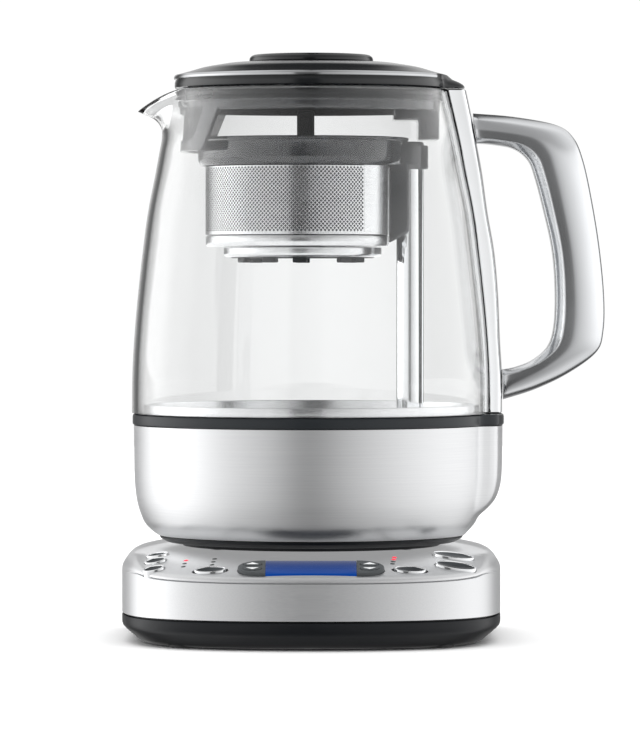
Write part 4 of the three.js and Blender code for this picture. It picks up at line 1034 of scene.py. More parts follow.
# Corners of a foot: radius, end, offset and rounding
foot_corners = [
    (0, 0, 0, 0), (6.4, 0, 0, 0.3), (6.6, 0, 0.5, 0.2), (7.2, 0, 0.5, 0.2), (7.5, 0, 0, 0.2),
    (8, 0, 0.3, 0.4), (8, 0, 3.2, 0.3), (0, 0, 3.2, 0),
]
tray_top = 12.4 * mm
# Rings of the tub: inset, end and offset
tray_steps = [
    (9.2, 0, 0), (8, 0, 0.25), (6.2, 0, 1.6), (1.6, 2, 6.2), (0.5, 2, 7.4), (0.05, 2, 8.6), (0, 2, 9.6),
    (0, 1, -0.5), (0.15, 1, -0.15), (0.5, 1, 0), (1.7, 1, 0), (1.7, 1, 5), (3.8, 1, 5), (3.8, 1, -2),
    (9, 2, 6.4),
]


def add_tray():
    steps = between(tray_steps, low_corner("base_tray").z, tray_top)
    tray = drawn("tray", [base_ring(inset * mm, z) for inset, z in steps])
    for foot in foot_names:
        place = middle(foot)
        pocket = plug(foot_pocket_radius, -foot_pocket_overrun, foot_pocket_top)
        cut(tray, turned("tool", pocket, place, 48))
    dress(tray, base_black, "power_base", "base_tray")


def add_foot(foot):
    made = turned(foot + "_pad", corner_profile(foot_corners, 5), middle(foot), 48)
    dress(made, foot_rubber, "power_base", foot)


add_tray()
for foot in foot_names:
    add_foot(foot)

# %% [markdown]
# The power hub is the plug that the jug turns on: a moulded dish, a stepped post with a contact ring in a
# groove, and a pin in its middle.

# %% Hub and gland
# Corners of the hub, its contact ring and the gland
hub_corners = [
    (0, 0, 0, 0), (28, 0, 0, 0), (28, 0, 2, 0.3), (25, 0, 2, 0.2), (25, 2, 41.2, 0.5), (20, 2, 41.2, 0.5),
    (18.5, 2, 40.2, 0.5), (14.5, 2, 40.2, 0.5), (12, 2, 42.5, 0.8), (12, 1, -2, 0.4), (10, 1, 0, 0.8),
    (8.6, 1, 0, 0.2), (8.6, 1, -6, 0.2), (6.6, 1, -6, 0.2), (6.6, 1, 0, 0.3), (3.4, 1, 0, 0.3),
    (3.4, 1, -5, 0.2), (1.6, 1, -5, 0.2), (1.6, 1, -0.6, 0.5), (0, 1, -0.6, 0),
]
hub_contact_corners = [
    (6.8, 1, -5.6, 0), (8.4, 1, -5.6, 0), (8.4, 1, -2.4, 0), (6.8, 1, -2.4, 0), (6.8, 1, -5.6, 0),
]
gland_corners = [
    (3.6, 0, 0, 0), (5.4, 0, 0, 0.5), (5.4, 0, 7.2, 0.2), (7, 0, 7.2, 0.2), (7, 0, 9, 0.4),
    (3.6, 0, 9, 0.3), (3.6, 0, 0, 0),
]


def add_hub():
    axis = middle("power_hub")
    low, top = low_corner("power_hub").z, high_corner("power_hub").z
    hub = turned("hub", corner_profile(hub_corners, 3, low, top), axis, 96)
    dress(hub, base_black, "power_base", "power_hub")
    ring = turned("hub_contact", corner_profile(hub_contact_corners, 3, low, top), axis, 72)
    dress(ring, bright_metal, "power_base")


def add_gland():
    """The gland is turned about the vertical and then laid back, square to the rear wall."""
    low, high = low_corner("cord_gland"), high_corner("cord_gland")
    place = middle("cord_gland")
    length = high.y - low.y
    gland = turned("gland", corner_profile(gland_corners, 3), Vector((0, 0, 0)), 56)
    take(gland)
    gland.rotation_euler = (pi / 2, 0, 0)
    gland.location = (place.x, high.y, place.z)
    bpy.ops.object.transform_apply(location=True, rotation=True, scale=True)
    dress(gland, foot_rubber, "power_base", "cord_gland")
    print("gland length in mm:", round(length / mm, 1))


add_hub()
add_gland()

# %% [markdown]
# ## Steel body of the jug
# The body is a round pot whose handle side swells into a flat lobe. It is drawn as one endless wall:
# up the outside, over the top and down the inside.

# %% Rings with a lobe
lobe_half_width = 29 * mm
lobe_blend = radians(6.5)
shell_radius = 79.5 * mm
shell_reach = 85.7 * mm
lobe_points = 200
shell_wall = 1.2 * mm
shell_table = [
    (0, 0.866, 0.804),
    (0.03, 0.893, 0.82),
    (0.1, 0.936, 0.855),
    (0.17, 0.957, 0.878),
    (0.245, 0.973, 0.925),
    (0.32, 0.984, 0.961),
    (0.42, 0.992, 0.984),
    (0.55, 0.997, 0.996),
    (1, 1, 1),
]
shell_rows = 30


def lobe_share(angle):
    half = asin(lobe_half_width / shell_radius)
    off = abs(atan2(sin(angle), cos(angle)))
    return ease((half - off) / lobe_blend)


def lobe_ring(radius, reach, z):
    """Angles crowd a little towards the lobe, where the outline changes fastest."""
    ring = []
    for i in range(lobe_points):
        turn = 2 * pi * i / lobe_points
        angle = turn - 0.35 * sin(turn)
        r = mix(radius, reach, lobe_share(angle))
        ring.append((jug_axis.x + r * cos(angle), jug_axis.y + r * sin(angle), z))
    return ring


def add_shell():
    low, top = low_corner("jug_shell").z, high_corner("jug_shell").z
    out_table = [(share, radius) for share, radius, _ in shell_table]
    reach_table = [(share, reach) for share, _, reach in shell_table]
    outer, inner = [], []
    for k in range(shell_rows + 1):
        share = (k / shell_rows) ** 1.6
        radius = shell_radius * read_table(out_table, share)
        reach = shell_reach * read_table(reach_table, share)
        z = mix(low, top, share)
        outer.append(lobe_ring(radius, reach, z))
        inner.append(lobe_ring(radius - shell_wall, reach - shell_wall, z))
    shell = drawn("shell", outer + inner[::-1], ring_closed=True)
    dress(shell, jug_steel, "jug", "jug_shell")
    return shell


shell = add_shell()
print("shell faces:", len(shell.data.polygons))

# %% Collar, underside and socket
collar_inner = 75.4 * mm
collar_radius = 80.1 * mm
collar_reach = 86.3 * mm
# Rings of the collar and corners of the underside
collar_steps = [
    (0.5, 0, 0), (0.1, 0, 0.4), (0, 0, 0.9), (0, 1, -1.3), (0.25, 1, -0.5), (0.9, 1, -0.05), (1.6, 1, 0),
]
underside_corners = [
    (17.3, 0, 0, 0), (20, 0, 0, 0.3), (21, 0, 1, 0.5), (50, 0, 1, 0.8), (53, 0, 0, 0.8), (57.6, 0, 0, 0.5),
    (58, 0, 1.6, 0.4), (64.4, 0, 1.7, 0.8), (67.6, 1, -1.3, 1.2), (68.1, 1, 0, 0.3), (17.3, 1, 0, 0.3),
    (17.3, 0, 0, 0),
]


def add_collar():
    low, top = low_corner("collar_ring").z, high_corner("collar_ring").z
    rings = []
    for inset, z in between(collar_steps, low, top):
        rings.append(lobe_ring(collar_radius - inset * mm, collar_reach - inset * mm, z))
    rings += [lobe_ring(collar_inner, collar_inner, z) for z in (top, low)]
    collar = drawn("collar", rings, ring_closed=True)
    dress(collar, collar_grey, "jug", "collar_ring")


def add_underside():
    low, top = low_corner("jug_underside").z, high_corner("jug_underside").z
    plate = turned("underside", corner_profile(underside_corners, 4, low, top), jug_axis)
    dress(plate, base_black, "jug", "jug_underside")


add_collar()
add_underside()

# %% [markdown]
# ## Glass
# The glass is turned as a thick wall with a rounded rim. Near the rim the wall is then drawn out to a
# spout: each vertex moves outwards and down by its share of the spout, as a hot glass is pulled.

# %% Glass jug
glass_foot = low_corner("glass_jug").z
glass_rim = high_corner("glass_jug").z
glass_radius = 80.4 * mm
glass_wall = 2.4 * mm
spout_reach = 78 * mm
spout_tip = 236 * mm
spout_root = 223 * mm
spout_half = radians(27)
glass_table = [
    (0, 1), (0.13, 0.997), (0.26, 0.983), (0.38, 0.963), (0.5, 0.939), (0.62, 0.91), (0.74, 0.868),
    (0.84, 0.834),
    (1, 0.769),
]
spout_drop_power = 1.4
reach_table = [(0, 0), (0.2, 0), (0.4, 0.12), (0.6, 0.36), (0.8, 0.72), (1, 1)]
drop_table = [(0, 0), (0.2, 0.33), (0.4, 0.57), (0.6, 0.76), (0.8, 0.9), (1, 1)]
glass_rows = 84


def glass_outer(z):
    return glass_radius * read_table(glass_table, (z - glass_foot) / (glass_rim - glass_foot))


def pull_spout(obj):
    root_radius = glass_outer(spout_root)
    for vertex in obj.data.vertices:
        x, y, z = vertex.co - jug_axis
        z = vertex.co.z
        if z <= spout_root:
            continue
        angle = atan2(y, -x)
        share = ease(1 - abs(angle) / spout_half)
        if share <= 0:
            continue
        up = min((z - spout_root) / (glass_rim - spout_root), 1)
        radius = sqrt(x * x + y * y)
        inset = glass_outer(z) - radius
        target = mix(root_radius, spout_reach, read_table(reach_table, up)) - inset
        height = mix(spout_root, spout_tip, read_table(drop_table, up))
        radius = mix(radius, target, share)
        vertex.co.x = jug_axis.x - radius * cos(angle)
        vertex.co.y = jug_axis.y + radius * sin(angle)
        vertex.co.z = mix(z, height, share ** spout_drop_power)


def add_glass():
    rim_centre = glass_rim - glass_wall / 2
    outer = []
    inner = []
    for k in range(glass_rows + 1):
        z = mix(glass_foot, rim_centre, k / glass_rows)
        outer.append((glass_outer(z), z))
        inner.append((glass_outer(z) - glass_wall, z))
    rim = []
    for k in range(1, 8):
        turn = pi * k / 8
        rim.append((outer[-1][0] - glass_wall / 2 * (1 - cos(turn)), rim_centre + glass_wall / 2 * sin(turn)))
    profile = outer + rim + inner[::-1] + [outer[0]]
    glass = turned("glass", profile, jug_axis, 192, 60)
    pull_spout(glass)
    dress(glass, jug_glass, "jug", "glass_jug")
    return glass


glass = add_glass()
print("glass faces:", len(glass.data.polygons))

# %% [markdown]
# ## Spine and handle
# A bright strip hugs the glass and carries the handle. The handle is one casting: a round grip whose
# inner side steps down to a flat rib. Both are drawn from a section that follows a curve.

# %% Spine
spine_half_width = 13 * mm
spine_foot_reach = 85.5 * mm
spine_rows = 60
spine_table = [
    (0, 1), (0.12, 1), (0.22, 0.99), (0.37, 0.979), (0.5, 0.959), (0.62, 0.924), (0.75, 0.893), (0.86, 0.858),
    (0.94, 0.832), (1, 0.81),
]
spine_slant_share = 0.22
spine_pad_gap = 0.08 * mm
spine_pad_top = 0.28 * mm
spine_glass_gap = 0.3 * mm
spine_trim = 0.15 * mm
trim_half_width = 60 * mm
trim_overrun = 5 * mm
spine_corner_shares = [1, 0.985, 0.94, 0.86, 0.7, 0.45, 0.15]
spine_edge_drops = [2.9, 2.0, 1.3, 0.9, 0.6, 0.25, 0]


def spine_reach(z):
    low, top = low_corner("handle_spine").z, high_corner("handle_spine").z
    return spine_foot_reach * read_table(spine_table, (z - low) / (top - low))


def spine_section(z):
    hug = glass_outer(z) + spine_glass_gap
    reach = spine_reach(z)
    section = []
    for k in range(-8, 9):
        y = spine_half_width * k / 8
        section.append((sqrt(hug * hug - y * y), y))
    edge = spine_half_width - (reach - section[-1][0]) * spine_slant_share
    sides = [(share, drop * mm) for share, drop in zip(spine_corner_shares, spine_edge_drops)]
    section += [(reach - drop, edge * share) for share, drop in sides]
    section += [(reach - drop, -edge * share) for share, drop in reversed(sides)]
    return [(jug_axis.x + x, jug_axis.y + y, z) for x, y in section]


def pad_section(z):
    """The thin dark strip that the spine is bedded on, between the metal and the glass."""
    half = spine_half_width - spine_glass_gap
    section = []
    for offset, way in ((spine_pad_gap, 1), (spine_pad_top, -1)):
        radius = glass_outer(z) + offset
        for k in range(-8, 9):
            y = way * half * k / 8
            section.append((jug_axis.x + sqrt(radius * radius - y * y), jug_axis.y + y, z))
    return section


spine_edge = 0.5 * mm


def add_spine():
    low, top = low_corner("handle_spine").z, high_corner("handle_spine").z
    heights = [mix(low, top, k / spine_rows) for k in range(spine_rows + 1)]
    spine = bevelled(drawn("spine", [spine_section(z) for z in heights]), spine_edge, 3, 60)
    spine.data.materials.append(bright_metal)
    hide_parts("handle_spine")
    pad = drawn("spine_pad", [pad_section(z) for z in heights[1:-1]])
    pad.data.materials.append(base_black)
    for piece in (spine, pad):
        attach(piece, "jug")


add_spine()

# %% Handle
handle_root = 72.4 * mm
handle_reach = 131.3 * mm
handle_top = 235.2 * mm
handle_bottom = 107 * mm
handle_half_depth = 11 * mm
handle_root_depth = 8.5 * mm
handle_stations = 110
handle_outer = [
    (0, 1), (0.31, 0.988), (0.63, 0.96), (0.765, 0.915), (0.84, 0.835), (0.905, 0.7), (0.965, 0.53),
    (1, 0.36),
    (0.995, 0.24), (0.94, 0.165), (0.72, 0.09), (0.47, 0.035), (0.23, 0),
]
handle_inner = [
    (0.01, 0.895), (0.15, 0.89), (0.31, 0.875), (0.42, 0.835), (0.475, 0.77), (0.535, 0.665), (0.6, 0.53),
    (0.625, 0.4), (0.62, 0.27), (0.575, 0.19), (0.46, 0.14), (0.33, 0.115), (0.225, 0.105),
]
grip_round_share = 0.64
grip_round_steps = 16
# Shares of the way in from the outer edge, and of the half depth: a flat face and then a slanted rib
grip_inner_section = [
    (0.7, 1), (0.76, 1), (0.815, 1), (0.83, 0.99), (0.845, 0.965), (0.9, 0.845), (0.965, 0.7),
    (0.99, 0.62), (1, 0.5),
    (1, 0.25), (1, 0),
]
grip_section = []
for k in range(grip_round_steps + 1):
    turn = pi / 2 * k / grip_round_steps
    grip_section.append((grip_round_share * (1 - cos(turn)), sin(turn)))
grip_section += grip_inner_section


def handle_point(table, share):
    out, up = smooth_through(table, share)
    return Vector((
        jug_axis.x + mix(handle_root, handle_reach, out),
        jug_axis.y,
        mix(handle_bottom, handle_top, up),
    ))


def handle_ring(share):
    far = handle_point(handle_outer, share)
    near = handle_point(handle_inner, share)
    depth = mix(handle_root_depth, handle_half_depth, sqrt(max(sin(pi * share), 0)))
    one_side = [far.lerp(near, inwards) + Vector((0, -depth * aside, 0)) for inwards, aside in grip_section]
    other_side = [far.lerp(near, inwards) + Vector((0, depth * aside, 0)) for inwards, aside in grip_section]
    return one_side + other_side[-2:0:-1]


def spine_shadow():
    """Everything inside the spine's outer face, to trim the ends of the handle."""
    low = low_corner("handle_spine").z - trim_overrun
    top = high_corner("handle_spine").z + trim_overrun
    rings = []
    for k in range(41):
        z = mix(low, top, k / 40)
        reach = jug_axis.x + spine_reach(z) + spine_trim
        corners = [(reach, -1), (reach, 1), (jug_axis.x, 1), (jug_axis.x, -1)]
        rings.append([(x, way * trim_half_width, z) for x, way in corners])
    return drawn("tool", rings)


def add_handle():
    rings = [handle_ring(k / handle_stations) for k in range(handle_stations + 1)]
    handle = cut(drawn("grip", rings, angle=40), spine_shadow())
    bpy.ops.object.shade_smooth_by_angle(angle=radians(28))
    dress(handle, handle_metal, "jug", "handle")
    print("handle faces:", len(handle.data.polygons))


add_handle()

# %% [markdown]
# ## Inside the jug
# A bright floor plate closes the vessel, and the guide post stands on it. The post is a sealed tube, with
# a plastic cap on top.

# %% Vessel floor and post
post_hole_radius = 6.4 * mm
post_hole_overrun = 5 * mm
post_radius = 6.15 * mm
post_bore_radius = 4.95 * mm
# Corners of the floor plate and of the post's cap
floor_corners = [
    (0, 0, 0, 0), (75.1, 0, 0, 2), (75.1, 1, 0, 0.3), (73.6, 1, 0, 0.3), (73.6, 0, 1.5, 2.5),
    (24, 0, 1.5, 1), (23, 0, 1.9, 1), (0, 0, 1.9, 0),
]
cap_corners = [(0, 0, 0, 0), (6.15, 0, 0, 0.2), (6.15, 1, 0, 1.2), (0, 1, 0, 0)]


def add_vessel_floor():
    low, top = low_corner("vessel_floor").z, high_corner("vessel_floor").z
    floor_plate = turned("floor_plate", corner_profile(floor_corners, 5, low, top), jug_axis)
    cut(floor_plate, turned("tool", plug(post_hole_radius, low - post_hole_overrun, top), post_axis, 48))
    dress(floor_plate, basket_steel, "jug", "vessel_floor")


def add_post():
    low, top = low_corner("lift_post").z, high_corner("lift_post").z
    outline = [(post_bore_radius, low), (post_radius, low), (post_radius, top), (post_bore_radius, top),
               (post_bore_radius, low)]
    pipe = turned("post", outline, post_axis, 72)
    pipe.data.materials.append(bright_metal)
    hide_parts("lift_post")
    cap_low, cap_top = low_corner("post_cap").z, high_corner("post_cap").z
    cap = turned("post_top", corner_profile(cap_corners, 5, cap_low, cap_top), post_axis, 72)
    cap.data.materials.append(skirt_grey)
    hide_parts("post_cap")
    for piece in (pipe, cap):
        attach(piece, "jug")


add_vessel_floor()
add_post()

# %% [markdown]
# ## Tea basket
# The drum is thin steel with a fine staggered perforation. A grid is poked and its grid edges dissolved,
# which leaves a net of diamonds; each diamond is inset and its middle deleted, and the pierced sheet is
# then rolled onto the drum's outline.

# %% Outline of the drum
drum_radius = 43.7 * mm
drum_flat = 38.3 * mm
drum_wall = 0.6 * mm


def drum_point(share, inset=0.0):
    """A point on the drum's round part, from one end of its flat to the other."""
    radius, flat = drum_radius - inset, drum_flat - inset
    half = pi / 2 - asin(flat / radius)
    angle = mix(half, 2 * pi - half, share)
    return basket_axis.x + radius * cos(angle), basket_axis.y + radius * sin(angle)


def drum_ring(inset, z, steps=120):
    ring = []
    for k in range(steps + 1):
        x, y = drum_point(k / steps, inset)
        ring.append((x, y, z))
    return ring


# %% Pierced sheet
hole_pitch = 1.75 * mm
hole_share = 0.29
# The lining of painted shade lies this far inside the drum's outer face.
shade_liner_depth = 0.35 * mm
pierced_low = 181.6 * mm
pierced_start = 0.075
drum_top_gap = 0.2 * mm
sheet_depth = 0.1 * mm


def pierced_sheet(name, columns, rows, inset):
    """A flat net of diamonds, one unit wide and one unit high."""
    deselect()
    bpy.ops.mesh.primitive_grid_add(x_subdivisions=columns, y_subdivisions=rows, size=1)
    obj = start(name)
    bpy.ops.mesh.select_all(action="SELECT")
    grid_edges = set()
    mesh = bmesh.from_edit_mesh(obj.data)
    for edge in mesh.edges:
        if not edge.is_boundary:
            grid_edges.add(frozenset(tuple(vertex.co) for vertex in edge.verts))
    bpy.ops.mesh.poke()
    bpy.ops.mesh.select_all(action="DESELECT")
    mesh = bmesh.from_edit_mesh(obj.data)
    for edge in mesh.edges:
        edge.select = frozenset(tuple(vertex.co) for vertex in edge.verts) in grid_edges
    bmesh.update_edit_mesh(obj.data)
    bpy.ops.mesh.dissolve_edges(use_verts=False)
    bpy.ops.mesh.select_all(action="DESELECT")
    mesh = bmesh.from_edit_mesh(obj.data)
    for face in mesh.faces:
        face.select = len(face.verts) == 4
    bmesh.update_edit_mesh(obj.data)
    bpy.ops.mesh.inset(thickness=inset, use_individual=True)
    bpy.ops.mesh.delete(type="ONLY_FACE")
    bpy.ops.object.mode_set(mode="OBJECT")
    return obj


def add_drum():
    low, top = low_corner("basket_drum").z, high_corner("basket_drum").z
    length = 2 * (pi - (pi / 2 - asin(drum_flat / drum_radius))) * drum_radius * (1 - 2 * pierced_start)
    columns = int(length / hole_pitch)
    rows = int((top - pierced_low) / hole_pitch)
    sheet = pierced_sheet("drum_mesh", columns, rows, hole_share * 0.5 / columns)
    for vertex in sheet.data.vertices:
        share = mix(pierced_start, 1 - pierced_start, vertex.co.x + 0.5)
        height = mix(pierced_low, top - drum_top_gap, vertex.co.y + 0.5)
        x, y = drum_point(share, sheet_depth)
        vertex.co = (x, y, height)
    take(sheet)
    bpy.ops.object.mode_set(mode="EDIT")
    bpy.ops.mesh.select_all(action="SELECT")
    bpy.ops.mesh.normals_make_consistent(inside=False)
    bpy.ops.object.mode_set(mode="OBJECT")
    sheet.data.materials.append(basket_steel)
    print("drum columns, rows and faces:", columns, rows, len(sheet.data.polygons))
    high = top - drum_top_gap
    # A dark lining of painted shade sits just inside the pierced sheet and stands for the shaded inside of
    # the basket.
    shade_lining = drawn("drum_shade_lining", [drum_ring(shade_liner_depth, pierced_low), drum_ring(shade_liner_depth, high),
                                   drum_ring(drum_wall, high), drum_ring(drum_wall, pierced_low)],
                   ring_closed=True)
    shade_lining.data.materials.append(painted_shade_inside)
    plain = drawn("drum", [drum_ring(0, low), drum_ring(0, pierced_low), drum_ring(drum_wall, pierced_low),
                           drum_ring(drum_wall, low)], ring_closed=True)
    plain.data.materials.append(basket_steel)
    return sheet, shade_lining, plain


def add_drum_back():
    """The plain part of the drum: the flat behind the carriage and the two strips beside it."""
    low, top = low_corner("basket_drum").z, high_corner("basket_drum").z
    rings = []
    for z in (low, top):
        outer = [(*drum_point(pierced_start * (1 - k / 10), 0), z) for k in range(11)]
        outer += [(*drum_point(1 - pierced_start * k / 10, 0), z) for k in range(11)]
        inner = [(*drum_point(1 - pierced_start * (1 - k / 10), drum_wall), z) for k in range(11)]
        inner += [(*drum_point(pierced_start * k / 10, drum_wall), z) for k in range(11)]
        rings.append(outer + inner)
    back = drawn("drum_back", rings)
    back.data.materials.append(basket_steel)
    return back


mesh_sheet, drum_shade_lining, drum_foot = add_drum()
drum_back = add_drum_back()
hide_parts("basket_drum")
for piece in (mesh_sheet, drum_shade_lining, drum_foot, drum_back):
    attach(piece, "basket")

# %% Band, floor cup and clips
# Rings of the band, and corners of the cup and of the clips' ring
band_steps = [
    (2, 1, 0), (1.2, 1, 0), (0.5, 1, -0.2), (0.2, 1, -0.7), (0.2, 0, 1.1), (0.5, 0, 0.4), (1.2, 0, 0),
    (3, 0, 0),
]
cup_corners = [
    (0, 0, 1.4, 0), (28, 0, 1.4, 0.4), (30, 0, 0.3, 0.5), (34.6, 0, 0.3, 1), (35.4, 0, 1.4, 0.5),
    (35.4, 1, 0, 0.2), (33, 1, 0, 0),
]
clip_ring_corners = [(28.2, 1, -1, 0), (32, 1, -1, 0.3), (32, 0, 2, 0.5), (28.2, 0, 2, 0.5), (28.2, 1, -1, 0)]
cup_wall = 0.6 * mm


def add_band():
    low, top = low_corner("basket_band").z, high_corner("basket_band").z
    band = drawn("band", [drum_ring(inset * mm, z) for inset, z in between(band_steps, low, top)])
    band.data.materials.append(basket_steel)
    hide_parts("basket_band")
    return band


def add_cup():
    low, top = low_corner("basket_cup").z, high_corner("basket_cup").z
    cup = walled(turned("cup", corner_profile(cup_corners, 4, low, top), basket_axis), cup_wall)
    cup.data.materials.append(basket_steel)
    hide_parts("basket_cup")
    return cup


clip_angles = (-150, -118, -92, -52, -35, 45, 90, 135)
clip_radius = 30 * mm
clip_half_width = 3.2 * mm
clip_half_depth = 1.6 * mm
clip_height = 3 * mm
clip_edge = 0.5 * mm


def add_clips():
    low, top = low_corner("basket_clip_ring").z, high_corner("basket_clip_ring").z
    ring = turned("clip_ring", corner_profile(clip_ring_corners, 3, low, top), basket_axis)
    pieces = [ring]
    for degree in clip_angles:
        clip = block("clip", (-clip_half_width, -clip_half_depth, low),
                     (clip_half_width, clip_half_depth, low + clip_height))
        clip = bevelled(clip, clip_edge, 3)
        turn = Matrix.Rotation(radians(degree + 90), 4, "Z")
        place = (clip_radius * cos(radians(degree)), clip_radius * sin(radians(degree)), 0)
        spot = Matrix.Translation(Vector((basket_axis.x, basket_axis.y, 0)) + Vector(place))
        clip.data.transform(spot @ turn)
        pieces.append(clip)
    clips = joined("clips", pieces)
    clips.data.materials.clear()
    clips.data.materials.append(collar_grey)
    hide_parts("basket_clip_ring")
    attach(clips, "basket")


for piece in (add_band(), add_cup()):
    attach(piece, "basket")
add_clips()

# %% [markdown]
# The carriage is one grey moulding: the rim that the basket hangs in, a collar round the post, and a
# channel behind the drum that ends in a thin tail.

# %% Carriage
carriage_half_width = 9.4 * mm
# Corners of the rim and of the collar round the post
rim_corners = [
    (44.6, 0, 0, 0), (45.6, 0, 0, 0.4), (46.6, 0, 1.6, 1.2), (46.9, 0, 3, 1), (47, 1, -1.8, 0.5),
    (47.8, 1, -1.2, 0.4), (47.8, 1, -0.2, 0.5), (46.9, 1, 0, 0.4), (44.6, 1, 0, 0.3), (44.6, 0, 0, 0),
]
post_collar_corners = [(6.5, 0, 0, 0), (8.1, 0, 0, 0.6), (8.1, 1, 0, 0.6), (6.5, 1, 0, 0.2), (6.5, 0, 0, 0)]
rim_low = 211.5 * mm
post_collar_heights = (210 * mm, 220.6 * mm)
# Distance from the jug's axis and height of each point of the channel and its tail, in millimetres
channel_outline = [(34.8, 213.5), (34.8, 177), (37.2, 178.3), (43.4, 182), (43.4, 213.5)]
tail_outline = [(38.2, 183), (38.2, 169.5), (40.4, 168), (42.5, 182.6)]
tail_half_width = 5 * mm
bridge_reach = (38.5 * mm, 45 * mm)
bridge_half_width = 8 * mm
channel_edge = 0.9 * mm
tail_edge = 0.5 * mm
bridge_edge = 0.7 * mm
carriage_bore_radius = 6.5 * mm
carriage_bore_heights = (150 * mm, 240 * mm)


def standing(name, outline, half_width):
    """An outline of distances from the jug's axis and heights in millimetres, twice the half width thick."""
    rings = []
    for y in (-half_width, half_width):
        rings.append([(jug_axis.x + x * mm, jug_axis.y + y, z * mm) for x, z in outline])
    return drawn(name, rings)


def add_rim():
    top = high_corner("basket_carriage").z
    return turned("rim", corner_profile(rim_corners, 4, rim_low, top), basket_axis)


def add_carriage():
    rim = add_rim()
    low, top = post_collar_heights
    collar = turned("collar", corner_profile(post_collar_corners, 4, low, top), post_axis, 72)
    channel = bevelled(standing("channel", channel_outline, carriage_half_width), channel_edge, 4)
    tail_piece = bevelled(standing("tail", tail_outline, tail_half_width), tail_edge, 3)
    near, far = bridge_reach
    bridge = block("bridge", (jug_axis.x + near, jug_axis.y - bridge_half_width, low),
                   (jug_axis.x + far, jug_axis.y + bridge_half_width, top))
    bridge = bevelled(bridge, bridge_edge, 3)
    pieces = [channel, tail_piece, bridge]
    bore = plug(carriage_bore_radius, *carriage_bore_heights)
    for piece in [rim] + pieces:
        cut(piece, turned("tool", bore, post_axis, 48))
    carriage = joined("carriage", [rim, collar] + pieces)
    dress(carriage, skirt_grey, "basket", "basket_carriage")


add_carriage()

# %% Lid of the basket
# Rings of the dish: inset, end and offset
tea_lid_steps = [
    (5, 0, 0), (1.6, 0, 0), (1.3, 0, 0.4), (1.3, 1, -0.4), (1.6, 1, 0), (2.6, 1, 0), (3, 1, -0.5),
    (3.2, 0, 2.2), (6, 0, 2),
]
stem_edge = 1.2 * mm


def add_tea_lid():
    low, top = low_corner("tea_lid").z, high_corner("tea_lid").z
    dish = drawn("dish", [drum_ring(inset * mm, z) for inset, z in between(tea_lid_steps, low, top)])
    dish.data.materials.append(skirt_grey)
    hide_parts("tea_lid")
    stem_low, stem_high = low_corner("tea_lid_stem"), high_corner("tea_lid_stem")
    stem = bevelled(block("stem", stem_low, stem_high), stem_edge, 4)
    stem.data.materials.append(base_black)
    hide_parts("tea_lid_stem")
    for piece, slot in ((dish, "grey_plastic"), (stem, "black_plastic")):
        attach(piece, "tea_lid")


add_tea_lid()
print("basket made")

# %% [markdown]
# ## Lid
# The lid is a low black dome with a round knob, a bright band round its edge and a tail that covers the
# top of the spine. Below it hangs a grey skirt with a guard and a strainer at the spout, and a guide block
# over the post.

# %% Dome, band and knob
lid_radius = 61.2 * mm
lid_tail_reach = 68.8 * mm
lid_tail_half = 14 * mm
lid_crown_radius = 36.8 * mm
lid_crown = 257.6 * mm
lid_band_low = 249.9 * mm
lid_band_high = 252.2 * mm
lid_points = 200
dome_table = [(0, 0), (0.25, 0.3), (0.52, 0.64), (1, 1)]
# Rings of the dome's edge: inset, end, offset, share of the tail and inset of the tail
dome_steps = [
    (0.6, 0, 0, 1, 0.7), (0.1, 0, 0.4, 1, 0.1), (0, 0, 1, 0.98, 0), (0, 0, 1.8, 0.9, 0),
    (0.1, 0, 2.8, 0.68, 0), (0.4, 1, -0.1, 0.35, 0), (0.9, 1, 0, 0.3, 0), (0.9, 1, 2.1, -0.02, 0),
]
dome_inner = 57.9 * mm
dome_inner_drop = 1.4 * mm
lid_groove = 0.6 * mm
groove_gap = 0.2 * mm
crown_overrun = 10 * mm
lid_band_rise = 0.3 * mm
lid_band_end = 56 * mm
# Corners of the bright band and of the knob
lid_band_corners = [
    (60.2, 0, 0, 0), (61.5, 0, 0, 0.3), (61.6, 0, 1, 0.3), (61, 1, 0, 0.5), (60.2, 1, 0, 0),
    (60.2, 0, 0, 0),
]
knob_corners = [
    (0, 0, 0, 0), (27.4, 0, 0, 0.1), (27.8, 0, 0.4, 0.3), (27.6, 0, 2.2, 0.8), (26.2, 1, -0.5, 0.8),
    (20, 1, -0.08, 2), (12, 1, 0, 2), (0, 1, 0, 0),
]


def lid_ring(radius, reach, z):
    half = asin(lid_tail_half / lid_radius)
    blend = half * 0.5
    ring = []
    for i in range(lid_points):
        turn = 2 * pi * i / lid_points
        angle = turn - 0.35 * sin(turn)
        off = abs(atan2(sin(angle), cos(angle)))
        r = mix(radius, reach, ease((half + blend / 2 - off) / blend))
        ring.append((jug_axis.x + r * cos(angle), jug_axis.y + r * sin(angle), z))
    return ring


def add_dome():
    low = low_corner("lid_cap").z
    groove = lid_radius - lid_groove
    rings = [lid_ring(dome_inner, dome_inner, z) for z in (lid_band_low - dome_inner_drop, low)]
    for inset, z, tail_share, tail_inset in between(dome_steps, low, lid_band_low):
        reach = mix(lid_radius, lid_tail_reach, tail_share) - tail_inset * mm
        rings.append(lid_ring(lid_radius - inset * mm, reach, z))
    steps = 18
    for k in range(steps + 1):
        share = k / steps
        radius = mix(groove - groove_gap, lid_crown_radius - crown_overrun, share)
        dome_share = min(share * (groove - lid_crown_radius + crown_overrun) / (groove - lid_crown_radius), 1)
        z = mix(lid_band_high, lid_crown, read_table(dome_table, dome_share))
        rings.append(lid_ring(radius, radius, z))
    dome = drawn("dome", rings)
    dome.data.materials.append(lid_black)
    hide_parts("lid_cap")
    return dome


